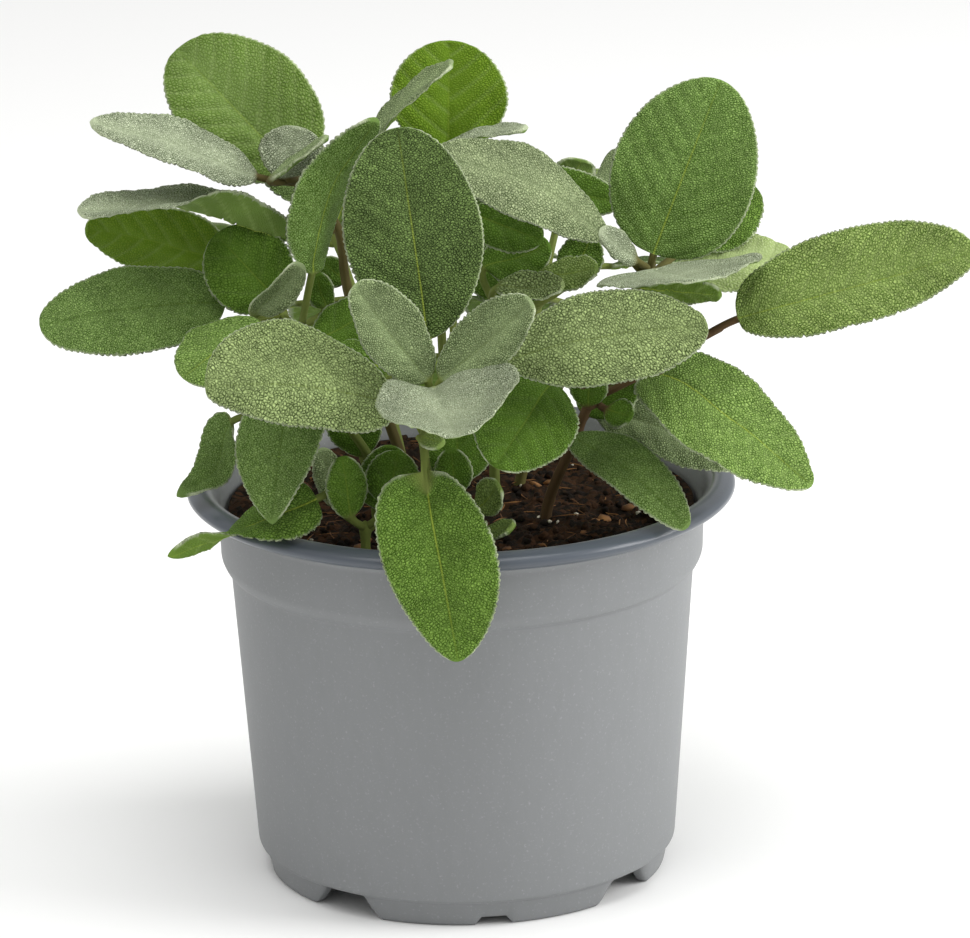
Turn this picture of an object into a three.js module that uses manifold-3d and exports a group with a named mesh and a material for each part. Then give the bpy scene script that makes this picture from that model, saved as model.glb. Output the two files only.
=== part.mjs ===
// Potted sage: leafy shoots of a broad-leaved sage, standing in peat soil in a thin plastic nursery pot.
// Millimetres, +Z up, the front is -Y. The origin is on the pot's axis, on the surface that it stands on.

import * as THREE from 'three';
import { mergeVertices } from 'three/addons/utils/BufferGeometryUtils.js';
import Module from 'manifold-3d';

const wasm = await Module();
wasm.setup();

// Pot
const RIM_RADIUS = 65;
const LIP_TOP = 95.8;
const LIP_BOTTOM = 91.8;
const BAND_RADIUS = 57.4;
const STEP_HEIGHT = 75.5;
const BODY_TOP_RADIUS = 54.8;
const BODY_BOTTOM_RADIUS = 49.9;
const WALL = 1.4;
const FLOOR_BOTTOM = 6;
const FLOOR_TOP = 7.6;
const FOOT_HEIGHT = 6.4;
const FOOT_OUTER_RADIUS = 47.2;
const FOOT_THICKNESS = 2.6;
const FOOT_COUNT = 4;
const FOOT_TURN = 7.5;
const FOOT_GAP = { bottom: 20.5, top: 10.5 };
const FOOT_NOTCH = { bottom: 9, top: 6.4, height: 1.9 };
const GATE_PAD_RADIUS = 6;
const DRAIN_RADIUS = 4;
const DRAIN_RING_RADIUS = 33;
const POT_SIDES = 44;

// Soil
const CLEARANCE = 0.35;
const SOIL_EDGE_HEIGHT = 85.5;
const SOIL_SIDES = 24;
const SOIL_BUMP = 1.1;
const HOLE_SIDES = 8;
const STEM_FOOT_HEIGHT = 76;
const STEM_COLLAR_HEIGHT = 90;

// Leaves and stems
const STEM_SIDES = 6;
const STEM_RADIUS = { foot: 1.8, top: 1.1 };
const BLADE_THICKNESS = 0.76;
const PETIOLE = { halfWidth: 1.15, thickness: 1.9 };
const RIB_DEPTH = 0.9;
const RUFFLE = { height: 0.4, waves: 2.5, offset: 1.9 };
const BLADE_HALF_WIDTH = 6;
const TIP_HALF_WIDTH = 0.6;
const TOOTH_DEPTH = 0.55;
const TOOTH_PITCH = 7;
const PETIOLE_ROWS = 2;
const TIP_CROWDING = 0.07;

// Outlines of a blade: where it is widest along its length, and how full its ends are
const OBLONG = { widest: 0.5, fullness: 0.58 };
const OVATE = { widest: 0.36, fullness: 0.72 };
const OBOVATE = { widest: 0.58, fullness: 0.6 };
const ROUND = { widest: 0.44, fullness: 0.56 };

const COLOURS = { pot: 0x8f9193, soil: 0x2e231c, leaf: 0x5f7f4a, shaded: 0x4d7238, bright: 0x5e8c3a };

// Each shoot has a stem, from its foot in the soil through points, and leaves.
// A leaf grows from a point on the stem, along its petiole to the base of the blade, and on to the tip.
// Its face is the way that the upper side looks. bow lifts the middle of the blade towards the face,
// fold lifts its edges, and twist (in degrees) turns it more and more towards the tip.
const SHOOTS = {
  shoot_front: {
    colour: COLOURS.leaf, foot: [-6, -30], points: [[-7, -38, 103], [-8, -46, 118], [-6, -48, 129]],
    leaves: [
      { from: [-8, -46, 118], base: [-8, -59, 112], tip: [-3, -75, 75], width: 28, face: [0, -1, 0.3],
        bow: 2, fold: 0.12, shape: OVATE },
      { from: [-7, -48, 125], base: [-17, -51, 131], tip: [-56.5, -62, 139], width: 29, face: [0, -0.72, 0.7],
        bow: 4, fold: -0.08 },
      { from: [-6, -47, 125], base: [10, -46, 136], tip: [57, -41, 143], width: 25, face: [0.05, -0.7, 0.72],
        bow: 4, fold: -0.06 },
      { from: [-6, -48, 128], base: [-7, -49, 133], tip: [-23, -52, 157], width: 17,
        face: [0.35, -0.85, 0.4], bow: -1, fold: 0.3 },
      { from: [-6, -48, 128], base: [-4, -49, 133], tip: [17, -54, 153], width: 16,
        face: [-0.3, -0.85, 0.45], bow: -1, fold: 0.3 },
      { from: [-6, -48, 126], base: [-5, -52, 130], tip: [1, -80, 132], width: 34, face: [-0.25, -0.1, 1],
        bow: -1, fold: 0.4, shape: OVATE },
      { from: [-7, -45, 120], base: [-7, -39, 140], tip: [-13, -27, 187], width: 32,
        face: [0.1, -0.95, 0.2], bow: 2, fold: 0.04 },
      { from: [-8, -45, 119], base: [-15, -42, 132], tip: [-27, -38, 139], width: 9, face: [0, -0.6, 0.8] },
    ],
  },
  shoot_left_front: {
    colour: COLOURS.shaded, foot: [-18, -22], points: [[-20, -24, 105], [-27, -27, 118], [-35, -25, 129]],
    leaves: [
      { from: [-32, -26, 125], base: [-38, -38, 128], tip: [-43, -52, 101], width: 23,
        face: [-0.25, -0.85, 0.35], bow: 3, fold: 0.1 },
      { from: [-27, -27, 118], base: [-46, -17, 114], tip: [-65, -22, 99], width: 14,
        face: [-0.4, -0.55, 0.75], bow: 3, fold: 0.1 },
      { from: [-20, -24, 105], base: [-34, -40, 103], tip: [-68, -45, 91.5], width: 11,
        face: [0.1, -0.5, 0.86], bow: 3, fold: 0.1 },
      { from: [-35, -25, 128], base: [-45, -24, 139], tip: [-63, -37, 131], width: 21,
        face: [-0.3, -0.65, 0.7], bow: 2, fold: -0.1 },
    ],
  },
  shoot_left: {
    colour: COLOURS.shaded, foot: [-20, -6], points: [[-26, -8, 113], [-37, -12, 133], [-41, -14, 140]],
    leaves: [
      { from: [-40, -13, 137], base: [-54, -9, 141], tip: [-97, -16, 138.5], width: 24,
        face: [0, -0.75, 0.66], bow: 3, fold: -0.08 },
      { from: [-39, -12, 135], base: [-50, 12, 142], tip: [-88, 20, 151], width: 19,
        face: [0.2, 0.9, 0.35], bow: 2, fold: 0.1 },
      { from: [-40, -13, 138], base: [-41, -10, 142], tip: [-56, -6, 159.5], width: 21,
        face: [0.15, -0.95, 0.25], bow: 2, fold: 0.06 },
      { from: [-41, -14, 139], base: [-44, -18, 142], tip: [-34, -25, 156], width: 12,
        face: [-0.5, -0.6, 0.6], fold: 0.5 },
      { from: [-37, -12, 133], base: [-35, -16, 150], tip: [-17, -18, 187], width: 21,
        face: [-0.7, -0.68, 0.2], bow: 2, fold: 0.1, shape: OVATE },
    ],
  },
  shoot_upper_left: {
    colour: COLOURS.leaf, foot: [-12, 4],
    points: [[-20, 2, 119], [-26, 0, 143], [-28, 0, 157], [-36, 0, 168]],
    leaves: [
      { from: [-36, 0, 167], base: [-38, 8, 169], tip: [-60, 20, 198], width: 37,
        face: [0.15, -0.9, 0.4], bow: 2, fold: 0.06 },
      { from: [-35, 0, 167], base: [-45, -3, 170], tip: [-83, -12, 186], width: 17,
        face: [0.1, -0.45, 0.88], bow: 3, fold: 0.1 },
      { from: [-33, 0, 163], base: [-43, -5, 164], tip: [-87, -19, 168], width: 12,
        face: [0.2, -0.3, 0.9], bow: 5, fold: 0.2, twist: -20 },
      { from: [-36, 0, 168], base: [-39, -5, 170], tip: [-37, -2, 182], width: 17,
        face: [0, -0.85, 0.5], fold: 0.15 },
      { from: [-36, 0, 168], base: [-36, -5, 170], tip: [-27, -5, 179], width: 9,
        face: [-0.3, -0.4, 0.85], fold: 0.5 },
      { from: [-26, 0, 141], base: [-26, 4, 142], tip: [-32, 2, 148], width: 7, face: [0.5, -0.8, 0.2] },
      { from: [-30, 0, 161], base: [-24, -1, 170], tip: [0, -5, 197], width: 13,
        face: [-0.45, -0.15, 0.87], bow: 2, fold: 0.2 },
    ],
  },
  shoot_top: {
    colour: COLOURS.bright, foot: [-2, 10], points: [[-4, 14, 126], [-4, 14, 164]],
    leaves: [
      { from: [-4, 14, 161], base: [-2, 16, 169], tip: [-1, 25, 195], width: 28, face: [0.1, -0.9, 0.4],
        bow: 1, fold: 0.06 },
      { from: [-4, 14, 163], base: [-5, 6, 172], tip: [17, -2, 180], width: 11, face: [0, -0.25, 0.97],
        bow: 2, fold: 0.1 },
      { from: [-4, 14, 149], base: [3, 4, 158], tip: [20, -2, 153], width: 13, face: [0.1, -0.85, 0.5],
        bow: 1, fold: 0.1 },
      { from: [-4, 14, 157], base: [10, 17, 163], tip: [39, 16, 157], width: 12, face: [0.1, -0.9, 0.45],
        bow: 1, fold: 0.1 },
    ],
  },
  shoot_middle: {
    colour: COLOURS.shaded, foot: [8, 0], points: [[8, 2, 119], [9, 4, 136]],
    leaves: [
      { from: [9, 4, 134], base: [19, 2, 143], tip: [33, -2, 146], width: 11, face: [0, -0.6, 0.8] },
      { from: [9, 4, 133], base: [9, -7, 143], tip: [25, -9, 144], width: 10, face: [0, -0.5, 0.87],
        fold: 0.2 },
      { from: [9, 4, 135], base: [6, 6, 144], tip: [22, 9, 149], width: 13, face: [0.1, -0.8, 0.6] },
      { from: [9, 4, 131], base: [26, 11, 139], tip: [32, 14, 150], width: 12, face: [-0.3, -0.8, 0.5] },
    ],
  },
  shoot_upper_right: {
    colour: COLOURS.leaf, foot: [14, 12], points: [[26, 8, 119], [43, 3, 141], [46, 1, 147]],
    leaves: [
      { from: [45, 2, 144], base: [46, 0, 149], tip: [62.5, 10, 188], width: 35, face: [-0.1, -0.96, 0.25],
        bow: 2, fold: 0.05, shape: ROUND },
      { from: [44, 2, 143], base: [35, -6, 155], tip: [-5, -20, 178.5], width: 22, face: [0.25, -0.6, 0.75],
        bow: 6, fold: -0.08 },
      { from: [45, 1, 145], base: [42, -3, 149], tip: [33, -9, 159], width: 10, face: [0.3, -0.7, 0.6],
        fold: 0.3 },
      { from: [45, 2, 143], base: [54, 14, 147], tip: [72, 31, 157], width: 20, face: [0, -0.9, 0.4],
        bow: 1 },
      { from: [44, 3, 142], base: [52, 8, 143], tip: [80, 24, 141.5], width: 20, face: [0, -0.35, 0.93],
        bow: 2 },
      { from: [45, 1, 144], base: [46, -5, 146], tip: [56, -36, 155.5], width: 38, face: [-0.13, 0.15, 1],
        fold: 0.04, shape: OVATE },
      { from: [44, 2, 142], base: [49, -6, 140], tip: [62, -11, 144], width: 13, face: [0, 0.5, 0.85] },
    ],
  },
  shoot_right: {
    colour: COLOURS.bright, foot: [20, -12],
    points: [[26, -16, 107], [33, -19, 122], [50, -17, 130], [62, -14, 135]],
    leaves: [
      { from: [61, -14, 134.7], base: [65, -15, 137], tip: [119.5, -26, 154.5], width: 25,
        face: [-0.15, -0.78, 0.6], fold: 0.06, shape: OBOVATE },
      { from: [32, -19, 120], base: [38, -28, 128], tip: [80.5, -44, 105], width: 30,
        face: [0.35, -0.6, 0.72], bow: 5, fold: 0.08, shape: OVATE },
      { from: [27, -16, 109], base: [26, -25, 112], tip: [53, -47, 97.5], width: 18,
        face: [-0.1, -0.75, 0.65], bow: 3 },
      { from: [27, -16, 110], base: [31, -11, 114], tip: [64.5, -22, 103.5], width: 18,
        face: [0.1, -0.5, 0.85], bow: 3 },
      { from: [33, -19, 121], base: [22, -34, 128], tip: [8, -58, 115], width: 24,
        face: [0.1, -0.75, 0.65], bow: 2, fold: 0.1 },
      { from: [32, -18, 118], base: [30, -23, 119], tip: [30, -26, 128], width: 9, face: [0, -0.9, 0.4] },
      { from: [32, -18, 118], base: [34, -23, 118], tip: [40, -27, 117], width: 8, face: [0, -0.8, 0.6] },
    ],
  },
  tuft_left: {
    colour: COLOURS.shaded, foot: [-22, -42], points: [[-22, -42, 98]],
    leaves: [
      { from: [-22, -42, 96], base: [-28, -43, 100], tip: [-34, -44, 115], width: 11,
        face: [0.2, -0.9, 0.3] },
      { from: [-22, -42, 96], base: [-17, -43, 101], tip: [-14, -40, 114], width: 13,
        face: [-0.1, -0.9, 0.3] },
    ],
  },
  tuft_front: {
    colour: COLOURS.shaded, foot: [2, -40], points: [[2, -40, 99]],
    leaves: [
      { from: [2, -40, 98], base: [-1, -41, 103], tip: [-2, -42, 115], width: 9, face: [0, -0.9, 0.3] },
      { from: [2, -40, 97], base: [4, -42, 100], tip: [9, -48, 108], width: 9, face: [0, -0.8, 0.6] },
      { from: [2, -40, 94], base: [5, -43, 95], tip: [12, -50, 98], width: 8, face: [0, -0.5, 0.85] },
    ],
  },
  shoot_back_left: {
    colour: COLOURS.leaf, foot: [-14, 26], points: [[-20, 36, 113], [-30, 47, 144]],
    leaves: [
      { from: [-29, 46, 141], base: [-35, 50, 149], tip: [-57, 60, 178], width: 26,
        face: [0.5, -0.5, 0.7], bow: 2, fold: 0.1 },
      { from: [-29, 46, 140], base: [-42, 50, 142], tip: [-78, 58, 141], width: 25,
        face: [0, 0.35, 0.93], bow: 3 },
      { from: [-29, 46, 142], base: [-22, 54, 145], tip: [-14, 75, 140], width: 23,
        face: [0.2, 0.3, 0.93], bow: 2 },
      { from: [-28, 45, 139], base: [-32, 56, 141], tip: [-39, 88, 137], width: 27, face: [0, 0.2, 1],
        bow: 4, fold: -0.08 },
      { from: [-25, 41, 128], base: [-38, 48, 125], tip: [-79, 65, 115], width: 25,
        face: [-0.3, 0.4, 0.86], bow: 4 },
      { from: [-24, 40, 125], base: [-26, 52, 123], tip: [-32, 84, 105], width: 26,
        face: [0, 0.5, 0.85], bow: 4 },
      { from: [-30, 47, 143], base: [-29, 46, 146], tip: [-24, 42, 159], width: 12,
        face: [0.2, 0.7, 0.6], fold: 0.3 },
    ],
  },
  shoot_back_right: {
    colour: COLOURS.leaf, foot: [10, 26], points: [[16, 38, 113], [25, 50, 147]],
    leaves: [
      { from: [25, 49, 145], base: [32, 53, 148], tip: [58, 62, 161], width: 22,
        face: [-0.3, -0.2, 0.93], bow: 2, fold: 0.1 },
      { from: [24, 49, 144], base: [20, 54, 147], tip: [12, 68, 152], width: 20,
        face: [0.3, 0.4, 0.85], fold: 0.1 },
      { from: [25, 50, 145], base: [27, 58, 148], tip: [33, 86, 147], width: 26, face: [0, 0.2, 1],
        bow: 3, fold: -0.08 },
      { from: [22, 46, 134], base: [36, 52, 132], tip: [70, 68, 122], width: 26,
        face: [0.25, 0.35, 0.9], bow: 4 },
      { from: [20, 43, 127], base: [26, 55, 122], tip: [45, 84, 99], width: 26, face: [0.2, 0.6, 0.8],
        bow: 4 },
      { from: [19, 42, 123], base: [16, 56, 121], tip: [10, 87, 107], width: 24, face: [0, 0.5, 0.85],
        bow: 4 },
      { from: [25, 50, 146], base: [26, 49, 150], tip: [30, 44, 161], width: 12, face: [0, 0.8, 0.6],
        fold: 0.3 },
    ],
  },
  shoot_back: {
    colour: COLOURS.bright, foot: [0, 34], points: [[-1, 48, 110], [-2, 58, 129]],
    leaves: [
      { from: [-2, 57, 127], base: [-8, 64, 130], tip: [-21, 89, 127], width: 22, face: [-0.1, 0.2, 1],
        bow: 3 },
      { from: [-2, 57, 126], base: [6, 65, 129], tip: [20, 91, 124], width: 23, face: [0.1, 0.2, 1],
        bow: 3 },
      { from: [-2, 58, 128], base: [0, 59, 132], tip: [4, 63, 151], width: 17, face: [0, -0.9, 0.3],
        bow: 1, fold: 0.1 },
      { from: [-1, 49, 111], base: [-4, 59, 108], tip: [-8, 84, 92], width: 22, face: [0, 0.5, 0.85],
        bow: 3 },
      { from: [-2, 58, 128], base: [-1, 60, 132], tip: [4, 71, 143], width: 10, face: [0.3, 0.7, 0.6],
        fold: 0.3 },
    ],
  },
};

function vector(xyz) {
  return new THREE.Vector3(...xyz);
}

function toSolid(geometry) {
  const bare = geometry.clone();
  bare.deleteAttribute('normal');
  bare.deleteAttribute('uv');
  const merged = mergeVertices(bare, 1e-4);
  return new wasm.Manifold(new wasm.Mesh({
    numProp: 3,
    vertProperties: new Float32Array(merged.attributes.position.array),
    triVerts: new Uint32Array(merged.index.array),
  }));
}

function toMesh(name, solid, colour, roughness) {
  const { numProp, vertProperties, triVerts } = solid.getMesh();
  const geometry = new THREE.BufferGeometry();
  const positions = new Float32Array((vertProperties.length / numProp) * 3);
  for (let i = 0; i * numProp < vertProperties.length; i++) {
    positions.set(vertProperties.subarray(i * numProp, i * numProp + 3), i * 3);
  }
  geometry.setAttribute('position', new THREE.BufferAttribute(positions, 3));
  geometry.setIndex(Array.from(triVerts));
  geometry.computeVertexNormals();
  const material = new THREE.MeshStandardMaterial({ color: colour, roughness, metalness: 0 });
  const mesh = new THREE.Mesh(geometry, material);
  mesh.name = name;
  return mesh;
}

// A closed solid through rings of points. Each ring runs anticlockwise about the way that the rings advance.
// The sides in flipped are split along their other diagonal.
function loft(rings, flipped = []) {
  const count = rings[0].length;
  const positions = rings.flat().flatMap((point) => point.toArray());
  const triangles = [];
  for (let row = 0; row + 1 < rings.length; row++) {
    for (let side = 0; side < count; side++) {
      const next = (side + 1) % count;
      const a = row * count + side;
      const b = row * count + next;
      const c = (row + 1) * count + next;
      const d = (row + 1) * count + side;
      if (flipped.includes(side)) triangles.push(a, b, d, b, c, d);
      else triangles.push(a, b, c, a, c, d);
    }
  }
  const last = (rings.length - 1) * count;
  for (let side = 1; side + 1 < count; side++) {
    triangles.push(0, side + 1, side);
    triangles.push(last, last + side, last + side + 1);
  }
  const geometry = new THREE.BufferGeometry();
  geometry.setAttribute('position', new THREE.Float32BufferAttribute(positions, 3));
  geometry.setIndex(triangles);
  return toSolid(geometry);
}

// Lathe profiles are drawn in radius and height, and turned so that the height is along Z.
function lathe(profile, sides) {
  const points = profile.map(([radius, height]) => new THREE.Vector2(radius, height));
  const geometry = new THREE.LatheGeometry(points, sides);
  geometry.rotateX(Math.PI / 2);
  return geometry;
}

function uprightCylinder(radius, bottom, top, x, y, sides) {
  const geometry = new THREE.CylinderGeometry(radius, radius, top - bottom, sides);
  geometry.rotateX(Math.PI / 2);
  geometry.translate(x, y, (top + bottom) / 2);
  return toSolid(geometry);
}

// A bar of trapezoid section, from the floor up, that reaches out through the foot ring at an angle.
function footCut(degrees, bottomWidth, topWidth, height) {
  const below = 1;
  const inner = 36;
  const outer = 56;
  const outline = new THREE.Shape([
    new THREE.Vector2(-bottomWidth / 2, -below),
    new THREE.Vector2(bottomWidth / 2, -below),
    new THREE.Vector2(topWidth / 2, height),
    new THREE.Vector2(-topWidth / 2, height),
  ]);
  const geometry = new THREE.ExtrudeGeometry(outline, { depth: outer - inner, bevelEnabled: false });
  geometry.translate(0, 0, -outer);
  geometry.rotateX(Math.PI / 2);
  geometry.rotateZ(THREE.MathUtils.degToRad(degrees - 90));
  return toSolid(geometry);
}

// The inside of the wall, from the floor up to the lip.
const potInside = [
  [BODY_BOTTOM_RADIUS - WALL, FLOOR_TOP],
  [BODY_TOP_RADIUS - WALL, STEP_HEIGHT - 1],
  [BAND_RADIUS - 1.6 - WALL, STEP_HEIGHT + 1.5],
  [BAND_RADIUS - WALL, LIP_BOTTOM - 2.5],
];

function makePot() {
  const outside = [
    [0, 0],
    [GATE_PAD_RADIUS, 0],
    [GATE_PAD_RADIUS + 0.6, FLOOR_BOTTOM],
    [FOOT_OUTER_RADIUS - FOOT_THICKNESS, FLOOR_BOTTOM],
    [FOOT_OUTER_RADIUS - FOOT_THICKNESS, 0],
    [FOOT_OUTER_RADIUS, 0],
    [FOOT_OUTER_RADIUS + 1.3, FOOT_HEIGHT - 0.4],
    [BODY_BOTTOM_RADIUS - 0.4, FOOT_HEIGHT],
    [BODY_BOTTOM_RADIUS, FOOT_HEIGHT + 0.6],
    [BODY_TOP_RADIUS, STEP_HEIGHT - 0.8],
    [BAND_RADIUS - 1.4, STEP_HEIGHT],
    [BAND_RADIUS - 0.4, STEP_HEIGHT + 2.2],
    [BAND_RADIUS, LIP_BOTTOM - 2.5],
    [BAND_RADIUS + 1.6, LIP_BOTTOM - 0.3],
    [RIM_RADIUS - 1.6, LIP_BOTTOM],
    [RIM_RADIUS, LIP_BOTTOM + 1.5],
    [RIM_RADIUS - 0.8, LIP_TOP - 0.9],
    [RIM_RADIUS - 3.4, LIP_TOP],
    [RIM_RADIUS - 5.2, LIP_TOP - 0.2],
    [RIM_RADIUS - 6.6, LIP_TOP - 1.6],
  ];
  const profile = [...outside, ...potInside.toReversed(), [0, FLOOR_TOP]];
  let pot = toSolid(lathe(profile, POT_SIDES));
  for (let foot = 0; foot < FOOT_COUNT; foot++) {
    const middle = FOOT_TURN - 90 + (foot * 360) / FOOT_COUNT;
    const gap = middle + 180 / FOOT_COUNT;
    const drain = THREE.MathUtils.degToRad(gap);
    const x = DRAIN_RING_RADIUS * Math.cos(drain);
    const y = DRAIN_RING_RADIUS * Math.sin(drain);
    pot = pot.subtract(footCut(middle, FOOT_NOTCH.bottom, FOOT_NOTCH.top, FOOT_NOTCH.height));
    pot = pot.subtract(footCut(gap, FOOT_GAP.bottom, FOOT_GAP.top, FLOOR_BOTTOM));
    pot = pot.subtract(uprightCylinder(DRAIN_RADIUS, FLOOR_BOTTOM - 1, FLOOR_TOP + 1, x, y, 12));
  }
  return pot;
}

// Soft lumps in the top of the soil, that fade out at the wall.
function soilLump(x, y) {
  const waves = Math.sin(x / 5.3 + 0.6) * Math.cos(y / 6.1) + 0.6 * Math.sin((x + 2 * y) / 8.7);
  const fade = THREE.MathUtils.smoothstep(54 - Math.hypot(x, y), 0, 10);
  return SOIL_BUMP * waves * fade;
}

function makeSoil() {
  const wall = potInside.map(([radius, height]) => [radius - CLEARANCE, height + CLEARANCE]);
  const [below, above] = wall.slice(2);
  const share = (SOIL_EDGE_HEIGHT - below[1]) / (above[1] - below[1]);
  const edge = below[0] + (above[0] - below[0]) * share;
  const top = [
    [edge, SOIL_EDGE_HEIGHT],
    [50, SOIL_EDGE_HEIGHT + 0.9],
    [42, SOIL_EDGE_HEIGHT + 1.6],
    [32, SOIL_EDGE_HEIGHT + 1.9],
    [20, SOIL_EDGE_HEIGHT + 1.6],
    [9, SOIL_EDGE_HEIGHT + 2],
  ];
  const profile = [[0, wall[0][1]], ...wall.slice(0, 3), ...top, [0, SOIL_EDGE_HEIGHT + 2.2]];
  const geometry = lathe(profile, SOIL_SIDES);
  const position = geometry.attributes.position;
  for (let i = 0; i < position.count; i++) {
    if (position.getZ(i) > SOIL_EDGE_HEIGHT + 0.1) {
      position.setZ(i, position.getZ(i) + soilLump(position.getX(i), position.getY(i)));
    }
  }
  let soil = toSolid(geometry);
  const hole = (STEM_RADIUS.foot + CLEARANCE) / Math.cos(Math.PI / HOLE_SIDES);
  const bottom = STEM_FOOT_HEIGHT - CLEARANCE;
  for (const { foot: [x, y] } of Object.values(SHOOTS)) {
    soil = soil.subtract(uprightCylinder(hole, bottom, STEM_COLLAR_HEIGHT, x, y, HOLE_SIDES));
  }
  return soil;
}

// The stem stands upright in its hole, and leans from the collar on.
function makeStem(foot, points) {
  const line = [[...foot, STEM_FOOT_HEIGHT], [...foot, STEM_COLLAR_HEIGHT], ...points].map(vector);
  const curve = new THREE.CatmullRomCurve3(line, false, 'centripetal');
  const steps = (line.length - 1) * 2;
  const rings = [];
  for (let step = 0; step <= steps; step++) {
    const share = step / steps;
    const centre = step === 1 ? line[0].clone().lerp(line[1], 0.5) : curve.getPoint(share);
    const along = step < 3 ? new THREE.Vector3(0, 0, 1) : curve.getTangent(share);
    const across = new THREE.Vector3(1, 0, 0).cross(along).normalize();
    const other = along.clone().cross(across);
    const radius = THREE.MathUtils.lerp(STEM_RADIUS.foot, STEM_RADIUS.top, share);
    rings.push(Array.from({ length: STEM_SIDES }, (_, side) => {
      const angle = (side / STEM_SIDES) * 2 * Math.PI;
      return centre.clone()
        .addScaledVector(across, radius * Math.cos(angle))
        .addScaledVector(other, radius * Math.sin(angle));
    }));
  }
  return loft(rings);
}

function bladeHalfWidth(along, leaf) {
  const { widest, fullness } = leaf.shape ?? OBLONG;
  const swing = Math.sin(Math.PI * along ** (Math.log(0.5) / Math.log(widest)));
  return (leaf.width / 2) * Math.max(swing, 0) ** fullness;
}

// A leaf is a thin plate with a rib below. Its section has a top and a bottom point at the rib and both edges.
// Every other row of the blade is drawn in, which cuts the edges into teeth.
function makeLeaf(leaf) {
  const { fold = 0, bow = 0, twist = 0 } = leaf;
  const from = vector(leaf.from);
  const base = vector(leaf.base);
  const tip = vector(leaf.tip);
  const face = vector(leaf.face).normalize();
  const middle = base.clone().lerp(tip, 0.5).addScaledVector(face, bow);
  const curve = new THREE.CatmullRomCurve3([from, base, middle, tip], false, 'centripetal');
  const length = base.distanceTo(tip);
  const bladeRows = 2 * Math.max(3, Math.round(length / TOOTH_PITCH));
  const rings = [];
  for (let row = -PETIOLE_ROWS; row <= bladeRows; row++) {
    const share = Math.max(row, 0) / bladeRows;
    const along = share - TIP_CROWDING * Math.sin(2 * Math.PI * share);
    const place = row < 0 ? (1 + row / PETIOLE_ROWS) / 3 : (1 + 2 * along) / 3;
    const centre = curve.getPoint(place);
    const ahead = curve.getTangent(place);
    const side = ahead.clone().cross(face).normalize();
    side.applyAxisAngle(ahead, THREE.MathUtils.degToRad(twist * along));
    const up = side.clone().cross(ahead);
    const notch = row > 0 && row < bladeRows && row % 2 === 0 ? TOOTH_DEPTH : 0;
    const stalk = row > 0 ? TIP_HALF_WIDTH : PETIOLE.halfWidth;
    const halfWidth = Math.max(bladeHalfWidth(along, leaf) - notch, stalk);
    const spread = THREE.MathUtils.smoothstep(halfWidth, PETIOLE.halfWidth, BLADE_HALF_WIDTH);
    const half = THREE.MathUtils.lerp(PETIOLE.thickness, BLADE_THICKNESS, spread) / 2;
    const rib = RIB_DEPTH * spread * (1 - 0.8 * along);
    const point = (across, lift) => centre.clone().addScaledVector(side, across).addScaledVector(up, lift);
    const edge = (sign) => {
      const phase = 2 * Math.PI * RUFFLE.waves * along + (sign > 0 ? 0 : RUFFLE.offset);
      return spread * (fold * halfWidth + RUFFLE.height * Math.sin(phase));
    };
    const edgeHalf = row > 0 ? BLADE_THICKNESS / 2 : half / 2;
    rings.push([
      point(0, half),
      point(halfWidth, edge(1) + edgeHalf),
      point(halfWidth, edge(1) - edgeHalf),
      point(0, -half - rib),
      point(-halfWidth, edge(-1) - edgeHalf),
      point(-halfWidth, edge(-1) + edgeHalf),
    ]);
  }
  return loft(rings, [2, 5]);
}

function makeShoot({ foot, points, leaves }) {
  return leaves.reduce((shoot, leaf) => shoot.add(makeLeaf(leaf)), makeStem(foot, points));
}

const sage = new THREE.Group();
sage.name = 'potted_sage';
sage.add(toMesh('pot', makePot(), COLOURS.pot, 0.5));
sage.add(toMesh('soil', makeSoil(), COLOURS.soil, 0.95));
for (const [name, shoot] of Object.entries(SHOOTS)) {
  sage.add(toMesh(name, makeShoot(shoot), shoot.colour, 0.75));
}

export default sage;
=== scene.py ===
"""Potted sage: the finished look of a broad-leaved sage in a grey nursery pot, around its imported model."""

import math
from types import SimpleNamespace

import bmesh
import bpy
import numpy as np
from mathutils import Matrix, Vector


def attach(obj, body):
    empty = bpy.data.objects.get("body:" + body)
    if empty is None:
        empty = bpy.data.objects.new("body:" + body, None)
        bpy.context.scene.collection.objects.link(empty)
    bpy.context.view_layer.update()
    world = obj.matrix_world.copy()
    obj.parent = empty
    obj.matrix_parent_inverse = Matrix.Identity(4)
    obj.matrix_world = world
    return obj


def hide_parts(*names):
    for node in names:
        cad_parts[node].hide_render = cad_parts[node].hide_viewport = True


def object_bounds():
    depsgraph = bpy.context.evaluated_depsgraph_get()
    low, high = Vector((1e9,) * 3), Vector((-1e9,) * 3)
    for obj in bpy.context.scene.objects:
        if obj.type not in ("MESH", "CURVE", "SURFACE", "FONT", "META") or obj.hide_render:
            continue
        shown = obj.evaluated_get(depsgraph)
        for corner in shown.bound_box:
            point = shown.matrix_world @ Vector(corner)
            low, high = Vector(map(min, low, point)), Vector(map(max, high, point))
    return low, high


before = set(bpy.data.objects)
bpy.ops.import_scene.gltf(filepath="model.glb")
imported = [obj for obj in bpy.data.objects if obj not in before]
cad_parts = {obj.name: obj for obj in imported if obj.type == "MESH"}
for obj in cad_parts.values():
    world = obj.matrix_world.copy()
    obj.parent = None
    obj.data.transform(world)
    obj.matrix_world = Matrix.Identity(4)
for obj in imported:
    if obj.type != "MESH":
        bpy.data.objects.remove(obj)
cad_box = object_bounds()

# Lengths are millimetres, in the frame of the model, until a mesh is finished: MM turns them to metres.
MM = 0.001

# Camera and light
AIM = Vector((5.73, 0, 97)) * MM
CAMERA_DISTANCE = 1500 * MM
CAMERA_ELEVATION = 17
CAMERA_LEAN = 0.93
FRAME_WIDTH = 970
FOCAL_PIXELS = 6354
SENSOR_WIDTH = 36

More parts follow.
